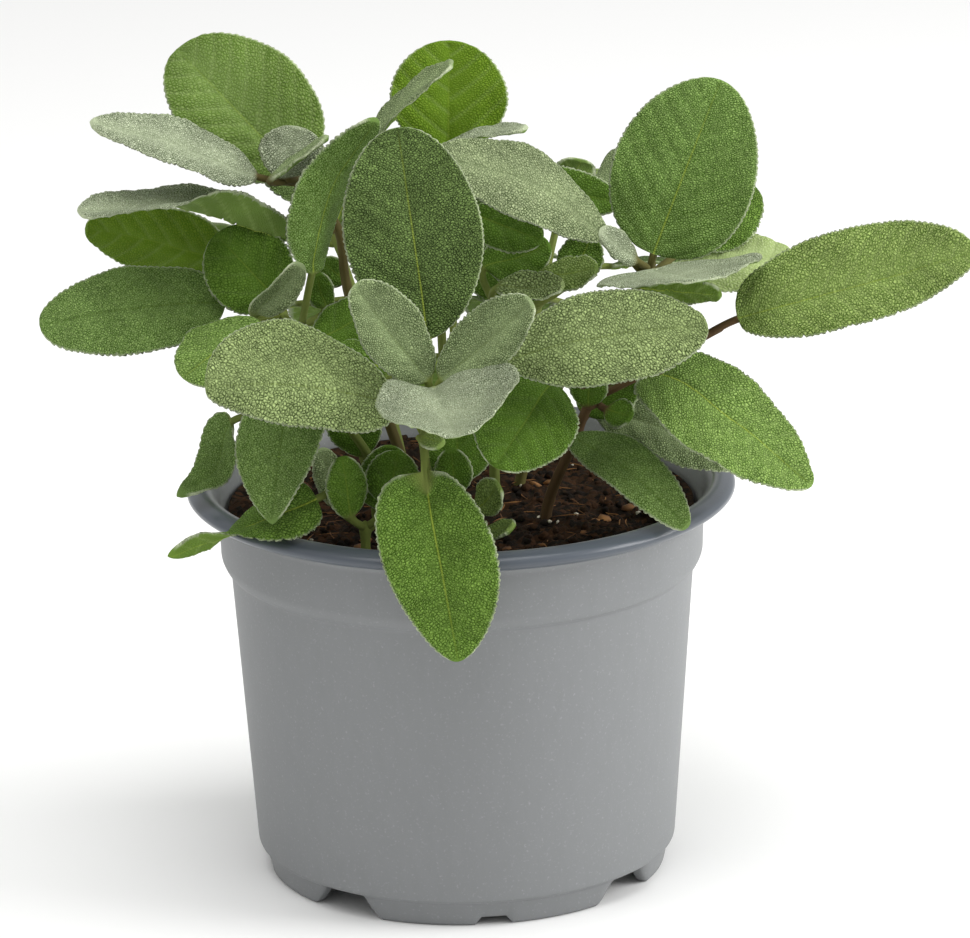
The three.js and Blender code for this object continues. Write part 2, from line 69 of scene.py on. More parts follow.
# Pot
RIM_RADIUS = 65
LIP_TOP = 95.8
LIP_BOTTOM = 91.8
BAND_RADIUS = 57.4
STEP_HEIGHT = 75.5
BODY_TOP_RADIUS = 54.8
BODY_BOTTOM_RADIUS = 49.9
WALL = 1.4
FLOOR_BOTTOM = 6
FLOOR_TOP = 7.6
FOOT_HEIGHT = 6.4
FOOT_OUTER_RADIUS = 47.2
FOOT_THICKNESS = 2.6
FOOT_COUNT = 4
FOOT_TURN = 7.5
FOOT_GAP = {"bottom": 20.5, "top": 10.5}
FOOT_NOTCH = {"bottom": 9, "top": 6.4, "height": 1.9}
GATE_PAD_RADIUS = 6
DRAIN_RADIUS = 4
DRAIN_RING_RADIUS = 33
POT_STEPS = 360

# Soil
SOIL_RADIUS = 55
SOIL_FOOT_RADIUS = 48.3
SOIL_BOTTOM = 8
SOIL_EDGE_HEIGHT = 89
SOIL_STEPS = 150

# Loose bits on the soil. facets says how finely a bit is cut, and finish which of the soil's three materials
# it has.
LITTER = {
    "crumb": {"count": 420, "radii": (0.7, 1.6), "flatness": 0.75, "facets": 2, "finish": 0},
    "bark_chip": {"count": 46, "radii": (1.2, 2.6), "flatness": 0.3, "facets": 1, "finish": 1},
    "perlite": {"count": 22, "radii": (0.5, 1.1), "flatness": 0.8, "facets": 1, "finish": 2},
}
FIBRE = {"count": 170, "lengths": (3, 9), "radius": 0.14, "rows": 8, "columns": 5}

# Stems
STEM_FOOT_HEIGHT = 76
STEM_COLLAR_HEIGHT = 90
STEM_RADIUS = {"foot": 1.4, "top": 0.8}
STEM_PITCH = 0.6
STEM_COLUMNS = 20
STEM_SQUARENESS = 0.06
STEM_TOP_ROUNDING = 1.5
NODE_SWELLING = {"height": 0.12, "reach": 1.8}
SEEDS_PER_SHOOT = 20

# Stalks and blades. A blade is as wide and thin as it gets where its half width is FULL_HALF_WIDTH.
STALK_HALF_WIDTH = 0.9
STALK_HALF_THICKNESS = 0.8
STALK_PITCH = 0.9
FULL_HALF_WIDTH = 6
BLADE_HALF_THICKNESS = 0.26
EDGE_THINNING = 2.2
TIP_CROWDING = 0.08
TIP_ROUNDING = 0.8
LOBE_FADING = 7
OWN_SKEW = 0.08
RUFFLE = {"height": 0.4, "waves": 2.5, "offset": 1.9}
SWELLING = {"height": 0.45, "size": 8}
TOOTH_PITCH = 1.35
TOOTH_DEPTH = 0.42
TOOTH_MEAN = 0.6
VEIN_SPACING = 5.2
VEIN_SLOPE = 0.62
VEIN_BEND = 0.25
VEIN_OFFSET = 0.45
VEIN_HALF_WIDTH = 0.42
VEIN_DEPTH = 0.14
VEIN_RIDGE = 0.3
QUILT_HEIGHT = 0.28
RIPPLE_HEIGHT = 0.1
CREASE_RADIUS = 1.5
MIDRIB_HALF_WIDTH = 0.32
MIDRIB_DEPTH = 0.5
RIB_HEIGHT = 0.75
RIB_HALF_WIDTH = 0.7
RIM_WIDTH = 0.55

# Pebbles on the upper side of a leaf
PEBBLE_JITTER = 0.85
PEBBLE_DRIFT = {"far": 0.45, "across": 4, "along": 5}
PEBBLE_STRETCH = 0.82
PEBBLE_WARP = 0.55
DOME_WIDTH = 0.5
GROOVE_WIDTH = 0.33
SMOOTH_HALF_SHARE = 0.5
UNDERSIDE_RELIEF = 0.3
PATTERN_STEP = 50

# Colours that leaves of every age share
SIDE_VEIN = 0xC2CF95
MIDRIB = 0xBACD50
UNDERSIDE = 0x6E8C38
UNDERSIDE_VEIN = 0x8CA556
# White of the hairs; on the crests it also stands for a painted highlight
HAIRS = 0xCAD4B0
GREEN_STALK = 0x7F9148
PURPLE_STALK = 0x5A3431
GLOW = 0x8DB02E

# Outlines of a blade: where it is widest along its length, and how slowly it widens from its base and its
# tip. 0.5 is the end of an ellipse.
OBLONG = {"widest": 0.5, "base": 0.6, "tip": 0.47}
OVATE = {"widest": 0.42, "base": 0.7, "tip": 0.58}
ROUND = {"widest": 0.45, "base": 0.54, "tip": 0.5}
BROAD = {"widest": 0.48, "base": 0.42, "tip": 0.45}
CORDATE = {"widest": 0.36, "base": 0.47, "tip": 0.56}
WEDGE = {"widest": 0.32, "base": 0.5, "tip": 0.72}


def age(crest, groove, relief, cell, smooth, wool, down=0, vein=0, midrib=0):
    """How leaves of one age look. crest and groove are the colours of the pebbles and of the grooves between
    them, the groove colour dark partly with painted shade. relief is the height of a pebble and cell its
    size.
    smooth is how much flatter the middle of the blade is than its edges, wool how thick the white hairs lie
    on the crests together with a painted highlight, down how white the middle of the blade is, vein how pale
    the side veins are, and midrib how clear the midrib is."""
    return SimpleNamespace(**locals())


# The groove colour of each look is darker than the leaf's own green: it holds painted shade in the grooves
LOOKS = {
    "woolly": age(0xE2ECCA, 0x3A4E22, relief=0.42, cell=0.5, smooth=0.5, wool=0.25, down=0.25),
    "frosted": age(0xC3D29D, 0x34491C, relief=0.43, cell=0.62, smooth=0.4, wool=0.15, down=0.05),
    "felted": age(0xBCD094, 0x32491C, relief=0.4, cell=0.5, smooth=0.5, wool=0.12, down=0.1, midrib=0.1),
    "pebbled": age(0xC2D88D, 0x263A06, relief=0.52, cell=0.66, smooth=0.3, wool=0.1, midrib=0.15),
    "green": age(0xC0DA7D, 0x3E5E0C, relief=0.43, cell=0.64, smooth=0.4, wool=0.06, vein=0.1, midrib=0.5),
    "lush": age(0xA8CB68, 0x34560A, relief=0.4, cell=0.6, smooth=0.2, wool=0.1, vein=0.05, midrib=0.9),
    "soft": age(0x7E9848, 0x527024, relief=0.2, cell=0.7, smooth=0.5, wool=0.1,
                down=0.05, vein=0.1, midrib=0.3),
    # pale: a light, flat green, its paleness partly painted light
    "pale": age(0xB9CA8A, 0x94AA60, relief=0.17, cell=0.8, smooth=0.5, wool=0.1,
                down=0.2, vein=0.2, midrib=0.2),
    "dark": age(0x84A058, 0x122403, relief=0.43, cell=0.55, smooth=0.1, wool=0.03, midrib=0.85),
    "mossy": age(0x99BB63, 0x385A10, relief=0.29, cell=0.5, smooth=0.1, wool=0.08, midrib=0.85),
    "dull": age(0x97B664, 0x365614, relief=0.29, cell=0.5, smooth=0.2, wool=0.08, midrib=0.08),
    "vivid": age(0x769426, 0x486A0A, relief=0.2, cell=0.6, smooth=0.6, wool=0.02, vein=0.1, midrib=0.2),
    # deep: a darker, smoother green, its darkness partly painted shade
    "deep_and_shaded": age(0x759B3B, 0x345006, relief=0.26, cell=0.55, smooth=0.5, wool=0.02, vein=0.05, midrib=0.25),
    "fresh": age(0x8AAF4C, 0x305006, relief=0.41, cell=0.58, smooth=0.2, wool=0.03, midrib=0.9),
}


def leaf(stem, base, tip, width, face, look, bow=0, fold=0, twist=0, lobe=0, skew=0, lean=0,
         opens=0, shape=OBLONG):
    """A leaf grows from a point on its stem, along its stalk to the base of the blade, and on to the tip.
    Its face is the way that the upper side looks. bow lifts the middle of the blade towards the face, fold
    lifts its edges, opens lets go of the fold towards the tip, twist turns the blade more and more towards
    the tip, and lobe draws its base back beside the stalk. skew makes one half widest nearer to the tip than
    the other, and lean makes it wider than the other."""
    return SimpleNamespace(**locals())


def shoot(foot, points, leaves, blush=0.2, pitch=0.36):
    """A stem from its foot in the soil through points, and its leaves. blush is how purple the stem is,
    and pitch the distance between the points of its finest mesh."""
    return SimpleNamespace(**locals())


SHOOTS = {
    "shoot_front": shoot(
        foot=(-6, -30), points=[(-7, -38, 103), (-8, -46, 118), (-6, -48, 129)],
        leaves=[
            leaf((-8, -46, 118), (-7.3, -60, 109.5), (-1, -75, 74.5), 26.5,
                 (0, -1, 0.3), "fresh", bow=2, fold=0.12, lobe=6, skew=-0.15, shape=CORDATE),
            leaf((-7, -48, 125), (-16, -51, 129), (-57, -62, 136.5), 28,
                 (0, -0.74, 0.68), "pebbled", bow=4, fold=-0.08, lobe=2, skew=0.14, lean=0.26, shape=BROAD),
            leaf((-6, -47, 125), (10, -46, 136), (57, -41, 143), 25,
                 (0.05, -0.7, 0.72), "pebbled", bow=4, fold=-0.06),
            leaf((-6, -48, 128), (-7, -49, 133), (-23, -52, 157), 17,
                 (0.35, -0.85, 0.4), "felted", bow=-1, fold=0.3),
            leaf((-6, -48, 128), (-4, -49, 133), (17, -54, 153), 16,
                 (-0.3, -0.85, 0.45), "felted", bow=-1, fold=0.3),
            leaf((-6, -48, 126), (-5.5, -52, 132), (0, -76.5, 128), 36,
                 (-0.1, -0.2, 1), "woolly", bow=-1, fold=0.4, lobe=6, lean=-0.06, shape=BROAD),
            leaf((-8, -46, 118), (-9, -50, 120), (-3.5, -55, 119.5), 5, (0, -0.6, 0.8), "green"),
            leaf((-7, -45, 120), (-7, -39, 140), (-13, -27, 187), 32,
                 (0.1, -0.95, 0.2), "dark", bow=2, fold=0.04),
            leaf((-8, -45, 119), (-15, -42, 132), (-27, -38, 139), 9, (0, -0.6, 0.8), "fresh"),
        ],
    ),
    "shoot_left_front": shoot(
        foot=(-18, -22), points=[(-20, -24, 105), (-27, -27, 118), (-35, -25, 129)],
        leaves=[
            leaf((-32, -26, 125), (-38, -38, 128), (-43, -52, 100.5), 21,
                 (-0.25, -0.85, 0.35), "dull", bow=3, fold=0.1, skew=0.2, shape=WEDGE),
            leaf((-27, -27, 118), (-53, -18, 115), (-66, -24, 98.8), 13,
                 (-0.4, -0.6, 0.7), "dull", bow=-5, fold=0.1, shape=WEDGE),
            leaf((-20, -24, 106), (-33, -46, 104.5), (-67.5, -45, 91), 16,
                 (0, -0.95, 0.3), "fresh", bow=-2, fold=0.1, twist=150, shape=WEDGE),
            leaf((-35, -25, 128), (-33, -20, 134), (-19, -13, 141), 13, (-0.2, -0.8, 0.5), "deep_and_shaded"),
            leaf((-20, -24, 104), (-22, -24, 108), (-27, -24, 123), 13, (-0.1, -0.9, 0.3), "deep_and_shaded"),
            leaf((-35, -25, 128), (-45, -24, 139), (-63, -37, 131), 21,
                 (-0.3, -0.65, 0.7), "lush", bow=2, fold=-0.1),
        ],
    ),
    "shoot_left": shoot(
        foot=(-20, -6), points=[(-26, -8, 113), (-37, -12, 133), (-41, -14, 140)],
        leaves=[
            leaf((-40, -13, 137), (-54, -9, 141), (-97, -16, 138.5), 23,
                 (0, -0.75, 0.66), "dull", bow=3, fold=-0.08, shape=BROAD),
            leaf((-39, -12, 135), (-50, 12, 143), (-88, 20, 152), 22,
                 (-0.2, -0.9, -0.35), "vivid", bow=-2, fold=-0.1),
            leaf((-40, -13, 138), (-41, -10, 140.5), (-56, -6, 157), 21,
                 (0.15, -0.95, 0.25), "deep_and_shaded", bow=2, fold=0.06),
            leaf((-41, -14, 139), (-47, -18, 140.5), (-35.5, -24, 154.5), 8.5,
                 (0.5, -0.8, 0.4), "felted", fold=1.1, lean=0.3),
            leaf((-37, -12, 133), (-33.5, -19.8, 150.7), (-18, -17.8, 187.2), 18,
                 (0.55, -0.8, 0.2), "mossy", bow=-6, fold=-0.8, shape=OVATE),
            leaf((-39, -12, 135), (-31, -6, 138), (-33, -8, 148), 7, (0.2, -0.9, 0.4), "deep_and_shaded"),
        ],
    ),
    "shoot_upper_left": shoot(
        foot=(-12, 4), points=[(-20, 2, 119), (-26, 0, 143), (-28, 0, 157), (-36, 0, 168)],
        blush=0.7,
        leaves=[
            leaf((-36, 0, 167), (-38, 8, 168), (-65, 18, 195.5), 31,
                 (0.15, -0.9, 0.4), "soft", bow=2, fold=0.04, skew=-0.1, lean=0.14, shape=BROAD),
            leaf((-35, 0, 167), (-46, -4, 170), (-84, -12, 185.7), 18,
                 (0.1, -0.45, 0.88), "woolly", bow=2, fold=0.1, shape=OVATE),
            leaf((-28, 0, 156), (-37.5, -6, 155.7), (-87, -19, 166), 20,
                 (0, 0.4, 0.92), "woolly", bow=4.5, fold=1.23, twist=-35, opens=0.75, shape=BROAD),
            leaf((-36, 0, 168), (-39, -5, 170), (-36.5, -2, 181.5), 16,
                 (0, -0.85, 0.5), "woolly", fold=0.15),
            leaf((-36, 0, 168), (-43, -8, 170), (-29, -10, 181), 8, (-0.6, 0, 0.8), "felted", fold=0.3),
            leaf((-26, 0, 141), (-26, 4, 142), (-32, 2, 148), 7, (0.5, -0.8, 0.2), "deep_and_shaded"),
            leaf((-30, 0, 161), (-24, -1, 170), (0, -5, 197), 15,
                 (-0.45, -0.15, 0.87), "felted", bow=2, fold=0.2),
        ],
    ),
    "shoot_top": shoot(
        foot=(-2, 10), points=[(-4, 14, 126), (-4, 14, 164)],
        leaves=[
            leaf((-4, 14, 161), (-2, 16, 169), (-1, 25, 195), 28,
                 (0.1, -0.9, 0.4), "vivid", bow=1, fold=0.06),
            leaf((-4, 14, 163), (-5, 6, 172), (17, -2, 180), 10,
                 (0, -0.1, 1), "woolly", bow=2, fold=0.1),
            leaf((-4, 14, 149), (3, 4, 158), (20, -2, 153), 13, (0.1, -0.85, 0.5), "deep_and_shaded", bow=1, fold=0.1),
            leaf((-4, 14, 157), (10, 17, 163), (39, 16, 157), 12,
                 (0.1, -0.9, 0.45), "deep_and_shaded", bow=1, fold=0.1),
        ],
    ),
    "shoot_middle": shoot(
        foot=(8, 0), points=[(8, 2, 119), (9, 4, 136)],
        leaves=[
            leaf((9, 4, 134), (19, 2, 143), (33, -2, 146), 11, (0, -0.6, 0.8), "green"),
            leaf((9, 4, 133), (9, -7, 143), (25, -9, 144), 10, (0, -0.5, 0.87), "pebbled", fold=0.2),
            leaf((9, 4, 135), (6, 6, 144), (22, 9, 149), 13, (0.1, -0.8, 0.6), "deep_and_shaded"),
            leaf((9, 4, 131), (26, 11, 139), (32, 14, 150), 12, (-0.3, -0.8, 0.5), "fresh"),
            leaf((9, 4, 130), (20, 13, 135), (1, 16, 146), 16, (0, -0.85, 0.5), "deep_and_shaded", bow=2),
        ],
    ),
    "shoot_upper_right": shoot(
        foot=(14, 12), points=[(26, 8, 119), (43, 3, 141), (46, 1, 147)],
        blush=0.6,
        leaves=[
            leaf((45, 2, 144), (46, 0, 149), (62.3, 10, 188), 34,
                 (-0.1, -0.96, 0.25), "mossy", bow=2, fold=0.05, shape=ROUND),
            leaf((44, 2, 143), (35, -6, 155), (-5, -20, 178.5), 22,
                 (0.25, -0.6, 0.75), "frosted", bow=6, fold=-0.08),
            leaf((45, 1, 145), (42, -3, 148), (33, -9, 157), 8, (0.3, -0.7, 0.6), "woolly", fold=0.3),
            leaf((45, 2, 143), (54, 14, 147), (70.5, 31, 157.5), 19, (0, -0.9, 0.4), "fresh", bow=1),
            leaf((44, 3, 142), (52, 8, 140.5), (80, 24, 142), 20, (0, -0.5, 0.85), "pale", bow=2),
            leaf((45, 1, 144), (46, -5, 146), (56, -36, 152), 40,
                 (-0.13, 0.1, 1), "woolly", fold=0.04, lean=-0.07, shape=OVATE),
            leaf((44, 2, 142), (42.5, -6, 143), (61.5, -11, 142), 12, (0, 0.75, 0.65), "pebbled"),
        ],
    ),
    "shoot_right": shoot(
        foot=(20, -12), points=[(26, -16, 107), (33, -19, 122), (50, -17, 130), (62, -14, 135)],
        blush=0.85,
        leaves=[
            leaf((57, -15, 133), (65, -15, 137), (119.5, -26, 155), 24.5,
                 (-0.15, -0.78, 0.6), "green", fold=0.06, lean=-0.18, shape=BROAD),
            leaf((32, -19, 120), (47, -31, 128.3), (80.5, -44, 105), 28,
                 (0.35, -0.6, 0.72), "lush", bow=2, fold=0.08, lobe=5, lean=0.12, shape=CORDATE),
            leaf((27, -16, 109), (26, -25, 112), (52, -47, 96.5), 13,
                 (-0.1, -0.75, 0.65), "dull", bow=7, lean=-0.15),
            leaf((27, -16, 110), (31, -11, 114), (64.5, -22, 103.5), 18,
                 (0.1, -0.5, 0.85), "felted", bow=3),
            leaf((33, -19, 121), (22, -34, 128), (8, -58, 115), 24,
                 (0.1, -0.75, 0.65), "deep_and_shaded", bow=2, fold=0.1),
            leaf((32, -18, 118), (30, -23, 119), (30, -26, 128), 9, (0, -0.9, 0.4), "deep_and_shaded"),
            leaf((27, -16, 110), (29, -14, 114), (40, -14, 127), 15, (0, -0.9, 0.4), "deep_and_shaded"),
            leaf((32, -18, 118), (34, -23, 118), (40, -27, 117), 8, (0, -0.8, 0.6), "deep_and_shaded"),
        ],
    ),
    "tuft_left": shoot(
        foot=(-22, -42), points=[(-22, -42, 98)],
        leaves=[
            leaf((-22, -42, 96), (-25, -46, 100), (-27, -47, 115), 10, (0.2, -0.9, 0.3), "deep_and_shaded"),
            leaf((-22, -42, 96), (-17, -43, 101), (-14, -40, 114), 13, (-0.1, -0.9, 0.3), "deep_and_shaded"),
            leaf((-22, -42, 95), (-18, -37, 98), (-16, -32, 113), 14, (0.1, -0.9, 0.3), "deep_and_shaded", shape=ROUND),
            leaf((-22, -42, 96), (-28, -36, 99), (-32, -30, 112), 8, (0.3, -0.9, 0.3), "felted"),
        ],
    ),
    "tuft_front": shoot(
        foot=(2, -40), points=[(2, -40, 99)],
        leaves=[
            leaf((2, -40, 98), (-1, -41, 103), (-2, -42, 115), 9, (0, -0.9, 0.3), "deep_and_shaded"),
            leaf((2, -40, 98), (0, -34, 104), (-1, -26, 118), 15, (0, -0.9, 0.3), "deep_and_shaded", shape=ROUND),
            leaf((2, -40, 97), (4, -42, 100), (9, -48, 108), 9, (0, -0.8, 0.6), "green"),
            leaf((2, -40, 94), (5, -43, 95), (12, -50, 98), 8, (0, -0.5, 0.85), "green"),
        ],
    ),
    "shoot_back_left": shoot(
        foot=(-14, 26), points=[(-20, 36, 113), (-30, 47, 144)],
        pitch=0.5,
        leaves=[
            leaf((-29, 46, 141), (-35, 50, 149), (-57, 60, 178), 26,
                 (0.5, -0.5, 0.7), "dark", bow=2, fold=0.1),
            leaf((-29, 46, 140), (-42, 50, 141), (-78, 58, 138), 25, (0, 0.35, 0.93), "green", bow=3),
            leaf((-29, 46, 142), (-22, 54, 145), (-14, 75, 140), 23, (0.2, 0.3, 0.93), "felted", bow=2),
            leaf((-28, 45, 139), (-32, 56, 141), (-39, 87.5, 131), 26,
                 (0, 0.2, 1), "deep_and_shaded", bow=4, fold=-0.08),
            leaf((-25, 41, 128), (-38, 48, 125), (-79, 65, 115), 25, (-0.3, 0.4, 0.86), "dark", bow=4),
            leaf((-24, 40, 125), (-26, 52, 123), (-32, 84, 105), 26, (0, 0.5, 0.85), "deep_and_shaded", bow=4),
            leaf((-30, 47, 143), (-29, 46, 146), (-24, 42, 159), 12, (0.2, 0.7, 0.6), "woolly", fold=0.3),
        ],
    ),
    "shoot_back_right": shoot(
        foot=(10, 26), points=[(16, 38, 113), (25, 50, 147)],
        pitch=0.5,
        leaves=[
            leaf((25, 49, 145), (32, 53, 148), (58, 62, 161), 22,
                 (-0.3, -0.2, 0.93), "felted", bow=2, fold=0.1),
            leaf((24, 49, 144), (20, 54, 147), (12, 68, 152), 20, (0.3, 0.4, 0.85), "woolly", fold=0.1),
            leaf((25, 50, 145), (27, 58, 148), (33, 86, 147), 26, (0, 0.2, 1), "green", bow=3, fold=-0.08),
            leaf((22, 46, 134), (36, 52, 132), (70, 68, 122), 26, (0.25, 0.35, 0.9), "dark", bow=4),
            leaf((20, 43, 127), (26, 55, 122), (45, 84, 99), 26, (0.2, 0.6, 0.8), "pebbled", bow=4),
            leaf((19, 42, 123), (16, 56, 121), (10, 87, 107), 24, (0, 0.5, 0.85), "deep_and_shaded", bow=4),
            leaf((25, 50, 146), (26, 49, 150), (30, 44, 161), 12, (0, 0.8, 0.6), "woolly", fold=0.3),
        ],
    ),
    "shoot_back": shoot(
        foot=(0, 34), points=[(-1, 48, 110), (-2, 58, 129)],
        pitch=0.5,
        leaves=[
            leaf((-2, 57, 127), (-8, 64, 130), (-21, 89, 127), 22, (-0.1, 0.2, 1), "pebbled", bow=3),
            leaf((-2, 57, 126), (6, 65, 129), (20, 90, 124), 23, (0.1, 0.2, 1), "green", bow=3),
            leaf((-2, 58, 128), (0, 59, 132), (4, 63, 151), 17, (0, -0.9, 0.3), "dark", bow=1, fold=0.1),
            leaf((-1, 49, 111), (-4, 59, 108), (-8, 84, 92), 22, (0, 0.5, 0.85), "deep_and_shaded", bow=3),
            leaf((-2, 58, 128), (-1, 60, 132), (4, 71, 143), 10, (0.3, 0.7, 0.6), "woolly", fold=0.3),
        ],
    ),
}

# What each point of a stem or leaf knows about its place, for the materials
FIELDS = ("rough", "vein", "rib", "rim", "under", "stalk", "blush", "tone")


def linear(colour):
    """The linear colour of an sRGB hex value."""
    parts = [(colour >> shift & 255) / 255 for shift in (16, 8, 0)]
    return *(part / 12.92 if part <= 0.04045 else ((part + 0.055) / 1.055) ** 2.4 for part in parts), 1


def smoothstep(value, low, high):
    share = np.clip((value - low) / (high - low), 0, 1)
    return share * share * (3 - 2 * share)


def unit(vectors):
    return vectors / np.linalg.norm(vectors, axis=-1, keepdims=True)


def scatter(i, j, seed):
    """A steady random number from 0 to 1 for each cell of a lattice."""
    wave = np.sin(i * 127.1 + j * 311.7 + seed * 74.7) * 43758.5453
    return wave - np.floor(wave)


def swells(x, y, seed):
    """Smooth random swells from -1 to 1, about one unit apart."""
    i, j = np.floor(x), np.floor(y)
    u, v = smoothstep(x, i, i + 1), smoothstep(y, j, j + 1)
    low = scatter(i, j, seed) * (1 - u) + scatter(i + 1, j, seed) * u
    high = scatter(i, j + 1, seed) * (1 - u) + scatter(i + 1, j + 1, seed) * u
    return 2 * (low * (1 - v) + high * v) - 1


def domes(x, y, jitter, seed):
    """Rounded cells one unit apart, on a staggered lattice: 0 in the grooves between them, 1 on the tops."""
    nearest = np.full(x.shape, 9.0)
    second = nearest
    for step in (-1, 0, 1):
        j = np.floor(y) + step
        shift = 0.5 * (j % 2)
        for side in (-1, 0, 1):
            i = np.floor(x - shift) + side
            across = x - (i + shift + 0.5 + jitter * (scatter(i, j, seed) - 0.5))
            along = y - (j + 0.5 + jitter * (scatter(i, j, seed + 1) - 0.5))
            distance = np.hypot(across, along)
            second = np.minimum(second, np.maximum(nearest, distance))
            nearest = np.minimum(nearest, distance)
    return np.clip((second - nearest) / 0.7, 0, 1)


def spline(points, place):
    """Points on the smooth line through points, and its direction there. place runs from 0 to 1."""
    points = np.array(points, float)
    padded = np.vstack([2 * points[0] - points[1], points, 2 * points[-1] - points[-2]])
    spans = len(points) - 1
    span = np.minimum((place * spans).astype(int), spans - 1)
    t = (place * spans - span)[:, None]
    before, start, end, after = (padded[span + step] for step in range(4))
    pairs = ((before, start), (start, end), (end, after))
    d0, d1, d2 = (np.sqrt(np.linalg.norm(b - a, axis=1))[:, None] for a, b in pairs)
    leave = ((start - before) / d0 - (end - before) / (d0 + d1) + (end - start) / d1) * d1
    arrive = ((end - start) / d1 - (after - start) / (d1 + d2) + (after - end) / d2) * d1
    cubic = 2 * (start - end) + leave + arrive
    square = 3 * (end - start) - 2 * leave - arrive
    return ((cubic * t + square) * t + leave) * t + start, unit((3 * cubic * t + 2 * square) * t + leave)


def mesh_points(mesh):
    points = np.empty(len(mesh.vertices) * 3)
    mesh.vertices.foreach_get("co", points)
    return points.reshape(-1, 3)


def set_points(mesh, points):
    mesh.vertices.foreach_set("co", points.ravel())


def set_fields(mesh, **fields):
    """Stores each of FIELDS on the mesh's points: a number for all of them, or one each."""
    for name in FIELDS:
        values = np.broadcast_to(np.asarray(fields.get(name, 0), float), len(mesh.vertices))
        mesh.attributes.new(name, "FLOAT", "POINT").data.foreach_set("value", np.ascontiguousarray(values))


def made_mesh(name, bm):
    """The mesh of a bmesh, which is used up."""
    mesh = bpy.data.meshes.new(name)
    bm.to_mesh(mesh)
    bm.free()
    return mesh


def add_object(name, data):
    """Puts a mesh, light or camera into the scene as an object."""
    made = bpy.data.objects.new(name, data)
    bpy.context.scene.collection.objects.link(made)
    return made


def round_shell(rows, columns):
    """A closed shell with rows along it and columns round it, and the row and column of each point."""
    bm = bmesh.new()
    bmesh.ops.create_uvsphere(bm, u_segments=columns, v_segments=rows, radius=1)
    mesh = made_mesh("shell", bm)
    x, y, z = mesh_points(mesh).T
    row = np.round((1 - np.arccos(np.clip(z, -1, 1)) / math.pi) * rows)
    column = np.round(np.arctan2(y, x) / math.tau % 1 * columns) % columns
    return mesh, row, column


def joined(name, meshes):
    """One mesh of several, which are used up."""
    bm = bmesh.new()
    for mesh in meshes:
        bm.from_mesh(mesh)
        bpy.data.meshes.remove(mesh)
    return made_mesh(name, bm)


def add_piece(name, mesh, materials, node, slot):
    """Puts a finished mesh, still in millimetres, into the scene in place of its CAD node."""
    mesh.transform(Matrix.Scale(MM, 4))
    for material in materials:
        mesh.materials.append(material)
    piece = add_object(name, mesh)
    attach(piece, "root")
    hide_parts(node)


def blade_half_width(along, leaf, skew):
    """The two halves of a blade are widest at places that are skew apart along it."""
    shape = leaf.shape
    swing = np.sin(math.pi * along ** (math.log(0.5) / np.log(shape["widest"] + skew / 2)))
    slowness = shape["base"] + (shape["tip"] - shape["base"]) * smoothstep(along, 0.15, 0.85)
    return leaf.width / 2 * np.maximum(swing, 0) ** slowness


def vein_lines(x, y, half):
    """How close a point of a blade is to a side vein, from 0 to 1, and a wave that is 1 on the veins and -1
    between them. The veins of the left and right half alternate, and bend towards the tip near the edge."""
    start = y - np.abs(x) * VEIN_SLOPE - VEIN_BEND * x * x / np.maximum(half, 1)
    turn = start / VEIN_SPACING + VEIN_OFFSET * (x > 0)
    off = np.abs(turn - np.round(turn)) * VEIN_SPACING
    return np.exp(-((off / VEIN_HALF_WIDTH) ** 2)), np.cos(math.tau * turn)


def pebble_places(x, y, seed):
    """Where a point of a blade is in the pattern of its pebbles, whose loose rows slant from the midrib."""
    slant = math.atan(VEIN_SLOPE)
    far, u, v = PEBBLE_DRIFT["far"], x / PEBBLE_DRIFT["across"], y / PEBBLE_DRIFT["along"]
    out = np.abs(x) * math.cos(slant) + y * math.sin(slant) + far * swells(u + seed, v, seed + 2)
    up = y * math.cos(slant) - np.abs(x) * math.sin(slant) + far * swells(u, v + seed, seed + 3)
    return PEBBLE_STRETCH * out + PATTERN_STEP * seed, up


def leaf_axes(leaf, place, along):
    """The middle line of a leaf, and the ways ahead, to the side and up from it."""
    stem, base, tip, face = (np.array(given, float) for given in (leaf.stem, leaf.base, leaf.tip, leaf.face))
    face = unit(face)
    centre, ahead = spline([stem, base, (base + tip) / 2 + face * leaf.bow, tip], place)
    side = unit(np.cross(ahead, face))
    turn = (math.radians(leaf.twist) * along)[:, None]
    side = side * np.cos(turn) - np.cross(side, ahead) * np.sin(turn)
    return centre, ahead, side, np.cross(side, ahead)


